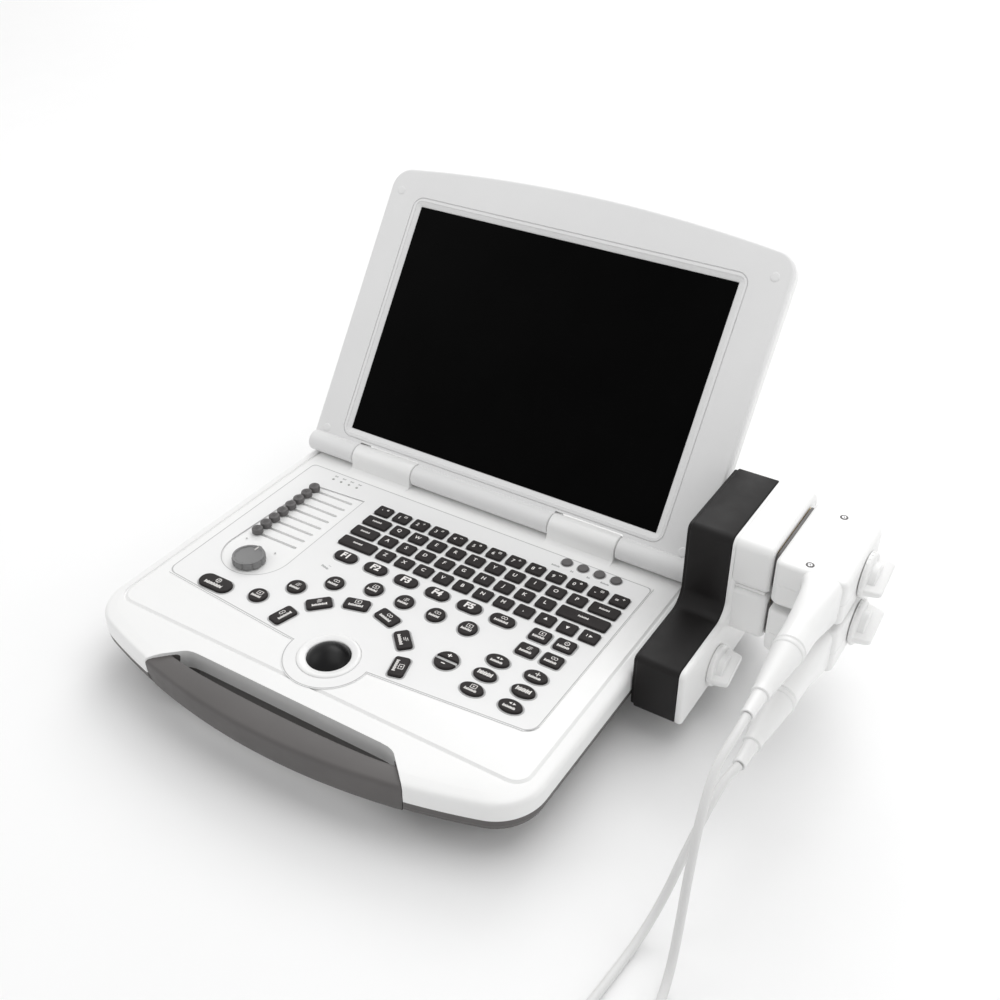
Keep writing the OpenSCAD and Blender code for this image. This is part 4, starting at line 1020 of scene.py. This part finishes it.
for i, z in enumerate(PLUG_Z, 1):
    plug = Sheetwork()
    plug.stack(plug_plan, [(d, z - h) for d, h in PLUG_EDGE]
               + [(0, z - 0.8), (0.35, z - 0.5), (0.35, z - 0.1), (0, z + 0.2)]
               + [(d, z + h) for d, h in reversed(PLUG_EDGE)])
    rings = []
    for k in range(NECK_STEPS + 1):
        t = k / NECK_STEPS
        ease = smooth_step(t)
        flare = max(0.0, 1 - t * 3.4) ** 2
        rings.append(neck(227 - 61.5 * t, z, 12 - 1.6 * ease + 3.2 * flare,
                          16.9 - 6.5 * min(1.0, ease * 1.15) ** 0.9,
                          0.26 + 0.74 * min(1.0, ease * 1.2), -3.0 * flare))
    rings += [neck(165, z, 10.0, 10.0, 1), neck(164.2, z, 9.2, 9.2, 1)]
    plug.skin(rings)
    sideways(plug, rounded(238.2, z - 10.8, 293.8, z + 10.8, 2, 4), [(1, 233.5), (0, 234.4), (0, 244.6)],
             material=1)
    sideways(plug, rounded(231, z - 14.2, 297, z + 14.2, 4, 5), [(0.6, 242.5), (0, 242.8), (0, 244.6)],
             material=1)
    if i == 1:
        for x, y in ((266.5, 290.5), (265.5, 228.5)):
            plug.stack(disc(x, y, 2.9, 32), [(0, z + 16.9), (0.1, z + 17.04), (0.5, z + 17.1)], material=1,
                       low=False)
            plug.stack(disc(x, y, 1.6, 28), [(0, z + 17), (0.2, z + 17.2)], material=2, low=False)
            for turn in (25, 115):
                plug.stack(turned(rounded(-1.2, -0.26, 1.2, 0.26, 0.1, 2), x, y, turn),
                           [(0, z + 17.1), (0, z + 17.23)], material=1)
    plug.done(f"plug_shell_{i}", f"plug_{i}", "white_shell", WHITE, DARK, STEEL, replaces=[f"probe_plug_{i}"],
              sharp=34)

    sleeve = Sheetwork()
    lathe(sleeve, (ARM_X, 0, z), [
        (163.9, 8.4), (163.9, 10.1), (163.2, 10.55), (161, 10.5), (160.2, 10.2), (159.8, 9.75), (142, 7.9),
        (124, 5.95), (121.5, 5.75), (120.6, 5.95), (118.6, 5.9), (118.1, 5.4), (117.9, 4.7), (110, 4.4),
        (101.5, 4.05), (100.6, 4.15), (99.4, 4.0), (99.1, 3.6), (99.2, 2.9)], "y")
    sleeve.done(f"cable_sleeve_{i}", f"plug_{i}", "relief", RELIEF, replaces=[f"strain_relief_{i}"], sharp=34)


# ---------- lid ----------

LID_X, LID_HALF, LID_H, LID_R, LID_BOW, FOOT, FOOT_R = -2.5, 177.0, 250.0, 17.0, 1350.0, -2.0, 3.0
SCREEN_X, SCREEN_Y, SCREEN_W, SCREEN_H = -4.5, 115.5, 282.4, 192.4
BOW_CENTRE = LID_H - LID_BOW
LID_CX = LID_HALF - LID_R
LID_CY = BOW_CENTRE + math.sqrt((LID_BOW - LID_R) ** 2 - LID_CX ** 2)
LID_TURN = math.degrees(math.asin(LID_CX / (LID_BOW - LID_R)))


def lid_outline(d):
    """The lid's outline in its own frame, moved inwards."""
    foot = max(FOOT_R, d + 0.5)
    return (arc(LID_X, BOW_CENTRE, LID_BOW - d, 90 - LID_TURN, 90 + LID_TURN, 40)
            + arc(LID_X - LID_CX, LID_CY, LID_R - d, 91 + LID_TURN, 180, 16)
            + arc(LID_X - LID_HALF + foot, FOOT + foot, foot - d, 180, 270, 8)
            + arc(LID_X + LID_HALF - foot, FOOT + foot, foot - d, 270, 360, 8)
            + arc(LID_X + LID_CX, LID_CY, LID_R - d, 0, 89 - LID_TURN, 16))


def around_screen(grow, r):
    return rounded(SCREEN_X - SCREEN_W / 2 - grow, SCREEN_Y - SCREEN_H / 2 - grow,
                   SCREEN_X + SCREEN_W / 2 + grow, SCREEN_Y + SCREEN_H / 2 + grow, r, 8)


def notch_cuts(sheet):
    for x0, x1 in ((-131.7, -72.3), (55.3, 113.7)):
        prism(sheet, rounded(x0, -13.6, x1, 10.2, 0.8, 4), -18, 13)


face = Sheetwork(on_lid)
face.stack(lid_outline, [(0.35, -4.95), (0, -4.6), (0, -1.2), (0.2, -0.3), (0.75, 0.45), (1.5, 0.8),
                         (2.4, 0.9)])
cuts = Sheetwork(on_lid)
notch_cuts(cuts)
cuts.stack(around_screen(0, 0.4), [(0, -6), (0, -1.2), (-0.3, -0.9), (-4.2, 0.35), (-4.5, 0.95), (-4.5, 2)])
cuts.channel(around_screen(7.6, 9.5), [(0, 2), (0, 0.2), (0.45, -0.1), (0.9, 0.2), (0.9, 2)])
finish_mesh("lid_face", carved(loose(face, "face_blank"), loose(cuts, "face_cuts")),
            "lid", [LID_GREY], ["lid_bezel"], 30)

knuckles = Sheetwork(on_lid)
for x0, x1 in ((-177.5, -131.8), (-72.2, 55.2), (113.8, 172.5)):
    lathe(knuckles, (0, 0, 0), [(x0, 7.4), (x0 + 0.2, 8.1), (x0 + 0.7, 8.55), (x0 + 1.4, 8.6),
                                (x1 - 1.4, 8.6), (x1 - 0.7, 8.55), (x1 - 0.2, 8.1), (x1, 7.2)])
knuckles.done("lid_knuckles", "lid", "lid_face", LID_GREY, sharp=34)

back = Sheetwork(on_lid)
back.stack(lid_outline, [(3.4, -16.1), (2.1, -15.9), (1.1, -15.3), (0.4, -14.4), (0.1, -13.4), (0, -12.4),
                         (0, -5.7), (0.5, -5.1)])
cuts = Sheetwork(on_lid)
notch_cuts(cuts)
slant = Sheetwork(on_lid)              # takes the back's foot off along a slope, clear of the deck
c, s = cos_sin(-39.5)
slant.skin([[(x, y * c - z * s, y * s + z * c) for y, z in ((-30, -60), (60, -60), (60, -8.3), (-30, -8.3))]
            for x in (-190, 190)])
back_data = carved(loose(back, "back_blank"), loose(cuts, "back_cuts"), loose(slant, "slant_cut"))
finish_mesh("lid_back", back_data, "lid", [WHITE], ["lid_shell"], 30)

stops = Sheetwork(on_lid)
for x in (-168.5, 161.5):
    for y in (12.6, 221):
        stops.stack(disc(x, y, 3.5, 36),
                    [(-0.25, 0.86), (0, 0.98), (0.1, 1.15), (0.5, 1.32), (1.3, 1.42), (2.4, 1.46)], low=False)
stops.done("lid_stops", "lid", "lid_face", LID_GREY, replaces=["lid_bumpers"], sharp=60)


# ---------- feet ----------

feet = Sheetwork()
for x in (-122, 122):
    for y in (68, 262):
        lathe(feet, (x, y, FLOOR), [(0.9, 4.4), (0.8, 5.1), (0.15, 5.5), (0, 6), (0, 6.9), (0.3, 7.5),
                                    (0.9, 7.9), (1.8, 8), (4, 8), (4.3, 7.7)], "z", 48)
        lathe(feet, (x, y, FLOOR), [(1.1, 1.4), (0.85, 1.9), (0.85, 2.6), (1.2, 3)], "z", 32)
feet.done("foot_pads", "base", "soft_rubber", RUBBER, replaces=["rubber_feet"], sharp=40)


# ---------- fittings of the rear ports ----------

def rearwards(sheet, outline, profile, material=0, closed_ends=True):
    """A body whose outline lies in X and Z: profile holds pairs of inset and Y."""
    rings = [[(x, y, z) for x, z in outline(d)] for d, y in profile]
    sheet.skin(rings, closed_ends, closed_ends, material)


ports = Sheetwork()
lathe(ports, (-46, 309, -22), [(0, 0.95), (6.6, 0.95), (7.3, 0.6), (7.4, 0.2)], "y", 24)
for x in (-32, -14):
    rearwards(ports, rounded(x + 0.2, -24.8, x + 12.8, -19.7, 0.6, 4),
              [(0, 309.4), (0, 317.5), (0.15, 317.8), (0.4, 317.8), (0.5, 317.5), (0.5, 309.4)],
              closed_ends=False)
    rearwards(ports, rounded(x + 1.9, -21.9, x + 11.1, -20.5, 0.3, 3),
              [(0, 309.2), (0, 316), (0.2, 316.2)], 1)
    for k in range(4):
        rearwards(ports, rounded(x + 2.9 + 2.05 * k, -22.1, x + 3.9 + 2.05 * k, -21.85, 0.1, 2),
                  [(0, 310), (0, 315.6)])
rearwards(ports, rounded(6.2, -26.8, 33.8, -17.2, 1.8, 6),
          [(0, 310.4), (0, 317.4), (0.2, 317.7), (0.6, 317.7), (0.8, 317.4), (0.8, 310.4)], closed_ends=False)
rearwards(ports, rounded(9, -25.6, 31, -18.4, 2.4, 6), [(0, 310.2), (0, 315.4), (0.4, 315.9)], 1)
for row in range(3):
    for k in range(5):
        rearwards(ports, disc(12.4 + 3.6 * k + 0.6 * row, -20 - 2 * row, 0.5, 12), [(0, 315.8), (0, 315.95)])
ports.done("port_fittings", "base", "steel", STEEL, BLACK, sharp=40)
